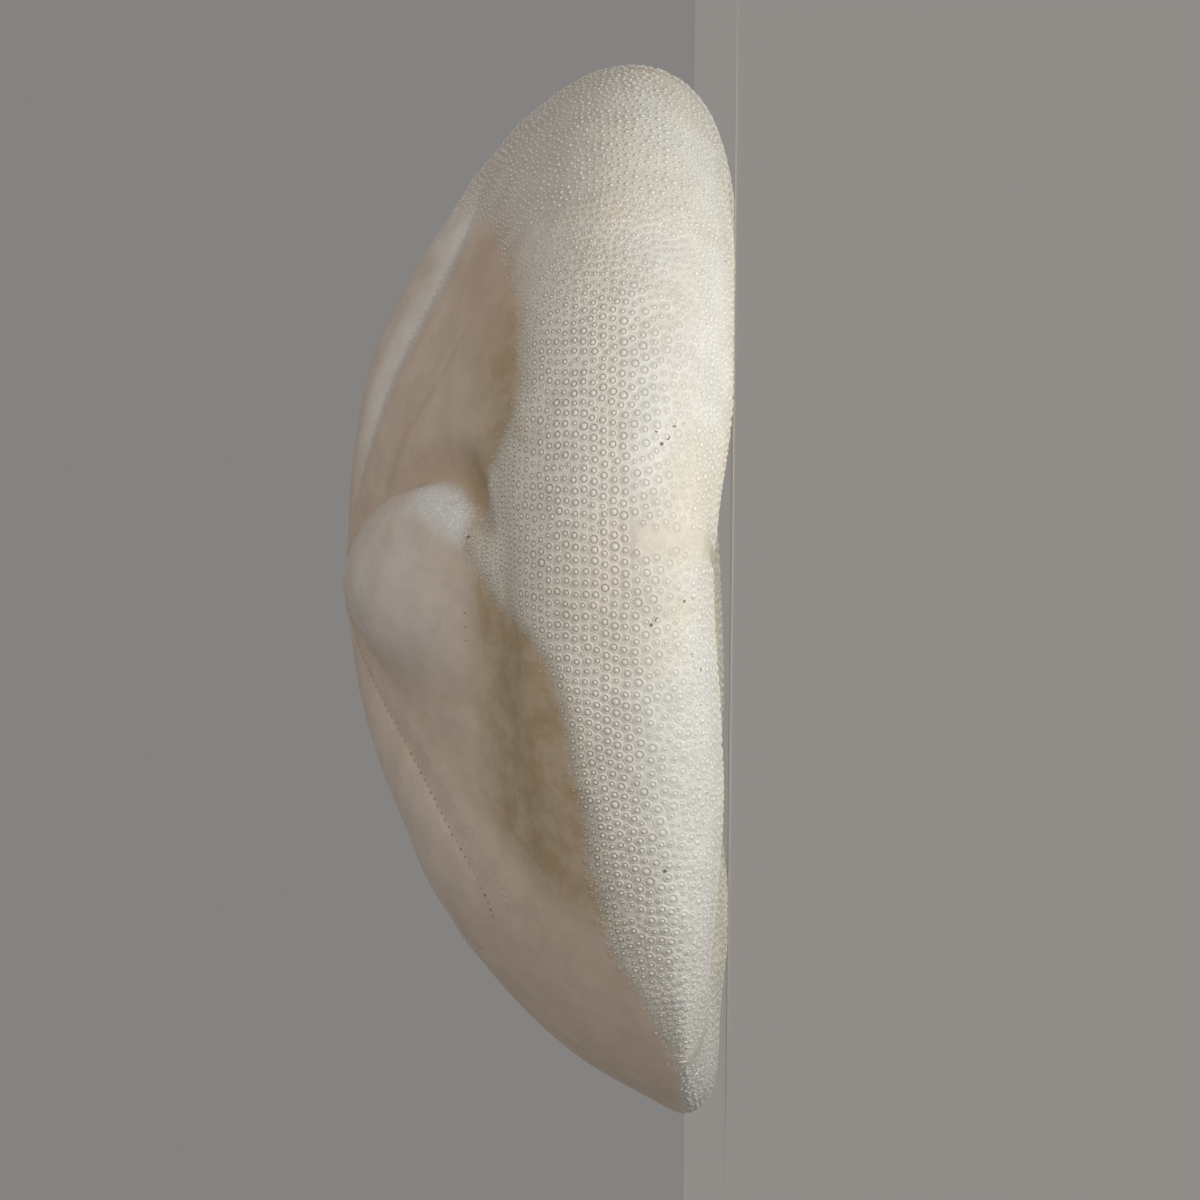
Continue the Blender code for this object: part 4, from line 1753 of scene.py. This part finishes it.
@dataclass
class Studio:
    """The pale floor, the soft lights and the camera at the photograph's viewing angle."""

    azimuth: float = math.radians(11.3)
    elevation: float = math.radians(-0.3)
    roll: float = math.radians(0.56)
    distance: float = 2.0
    pixels: float = 1200
    pixels_per_mm: float = 8.4
    crown_line: float = 595
    target_height: float = 15.6 * MM
    sensor: float = 36.0
    floor_reach: float = 40.0
    floor_colour: tuple = (0.84, 0.83, 0.81)
    floor_roughness: float = 0.9
    sky_colour: tuple = (0.87, 0.84, 0.81)
    sky_strength: float = 0.27

    # Far lights: name, shares of the way to the camera, to the photograph's top and up, energy,
    # width in degrees and colour
    lights: tuple = (
        ("front_softbox", (1.0, 0.3, -0.1), 0.85, 40.0, (1.0, 0.98, 0.95)),
        ("high_softbox", (0.1, 0.3, 1.0), 0.30, 60.0, (1.0, 0.95, 0.90)),
    )

    # Near light: the same shares, distance, power in watts, diameter and colour
    near_way: tuple = (1.0, 0.27, -0.85)
    near_distance: float = 0.26
    near_power: float = 0.265
    near_diameter: float = 0.07
    near_colour: tuple = (1.0, 0.995, 0.975)

    def axes(self) -> tuple[Vector, Vector, Vector]:
        """Level directions from the test to the camera and to the photograph's top, and up."""
        to_camera = Vector((math.sin(self.azimuth), -math.cos(self.azimuth), 0))
        to_top = Vector((math.cos(self.azimuth), math.sin(self.azimuth), 0))
        return to_camera, to_top, Vector((0, 0, 1))

    def build(self, form: TestForm) -> None:
        """Makes the camera, the lights and the floor."""
        bpy.context.scene.view_settings.view_transform = "Standard"
        self.build_camera(form)
        self.build_lights()
        self.build_floor()

    def build_camera(self, form: TestForm) -> None:
        """Camera that looks level at the side, rolled so that the front end is at the top."""
        to_camera, to_top, up = self.axes()
        back = to_camera * math.cos(self.elevation) + up * math.sin(self.elevation)
        level = up * math.cos(self.elevation) - to_camera * math.sin(self.elevation)
        right = -level * math.cos(self.roll) + to_top * math.sin(self.roll)
        top = to_top * math.cos(self.roll) + level * math.sin(self.roll)
        lens_data = bpy.data.cameras.new("camera")
        lens_data.sensor_width = self.sensor
        lens_data.lens = self.sensor * self.distance / (self.pixels / self.pixels_per_mm * MM)
        lens_data.clip_start, lens_data.clip_end = 0.01, 100.0
        aim = (self.crown_line - self.pixels / 2) / self.pixels_per_mm * MM
        target = Vector((-form.middle(), 0, self.target_height)) + to_top * aim
        placed = Matrix((right, top, back)).transposed().to_4x4()
        placed.translation = target + back * self.distance
        camera = bpy.data.objects.new("camera", lens_data)
        camera.matrix_world = placed
        bpy.context.scene.collection.objects.link(camera)
        bpy.context.scene.camera = camera

    def build_lights(self) -> None:
        """Even light from the sky, two broad far lights and a near one from below the camera."""
        world = bpy.data.worlds.new("studio")
        bpy.context.scene.world = world
        world.use_nodes = True
        background = world.node_tree.nodes["Background"]
        background.inputs["Color"].default_value = (*self.sky_colour, 1.0)
        background.inputs["Strength"].default_value = self.sky_strength
        to_camera, to_top, up = self.axes()
        for name, way, energy, width, colour in self.lights:
            toward = to_camera * way[0] + to_top * way[1] + up * way[2]
            sun = bpy.data.lights.new(name, "SUN")
            sun.energy = energy
            sun.angle = math.radians(width)
            sun.color = colour
            lamp = bpy.data.objects.new(name, sun)
            lamp.rotation_mode = "QUATERNION"
            lamp.rotation_quaternion = toward.normalized().to_track_quat("Z", "Y")
            bpy.context.scene.collection.objects.link(lamp)
        toward = to_camera * self.near_way[0] + to_top * self.near_way[1] + up * self.near_way[2]
        disk = bpy.data.lights.new("near_softbox", "AREA")
        disk.shape = "DISK"
        disk.size = self.near_diameter
        disk.energy = self.near_power
        disk.color = self.near_colour
        lamp = bpy.data.objects.new("near_softbox", disk)
        lamp.location = toward.normalized() * self.near_distance + up * self.target_height
        lamp.rotation_mode = "QUATERNION"
        lamp.rotation_quaternion = toward.normalized().to_track_quat("Z", "Y")
        bpy.context.scene.collection.objects.link(lamp)

    def build_floor(self) -> None:
        """Pale floor that lets the low light through: one triangle, so that no edge is near."""
        corners = np.array([(2.0, 0.0, 0.0), (-1.0, 1.75, 0.0), (-1.0, -1.75, 0.0)])
        corners = corners * self.floor_reach
        mesh = make_mesh("floor", corners, np.zeros((0, 4), int), np.array([[0, 1, 2]]))
        material = bpy.data.materials.new("floor")
        material.use_nodes = True
        shader = material.node_tree.nodes["Principled BSDF"]
        shader.inputs["Base Color"].default_value = (*self.floor_colour, 1.0)
        shader.inputs["Roughness"].default_value = self.floor_roughness
        mesh.materials.append(material)
        floor = bpy.data.objects.new("floor", mesh)
        floor.visible_shadow = False
        bpy.context.scene.collection.objects.link(floor)


def main() -> None:
    """Builds the stage, the skin, the tubercles, the pores and the blemishes in order."""
    logging.basicConfig(level=logging.INFO, format="%(name)s: %(message)s")
    form = TestForm()
    finish = ShellFinish()
    Studio().build(form)
    material = finish.material()
    grid = Skin().build(form, finish, material)
    Tubercles().build(form, grid, finish, material)
    Pores().build(form, grid, finish, material)
    Blemishes().build(grid, finish, material)


if __name__ == "__main__":
    main()
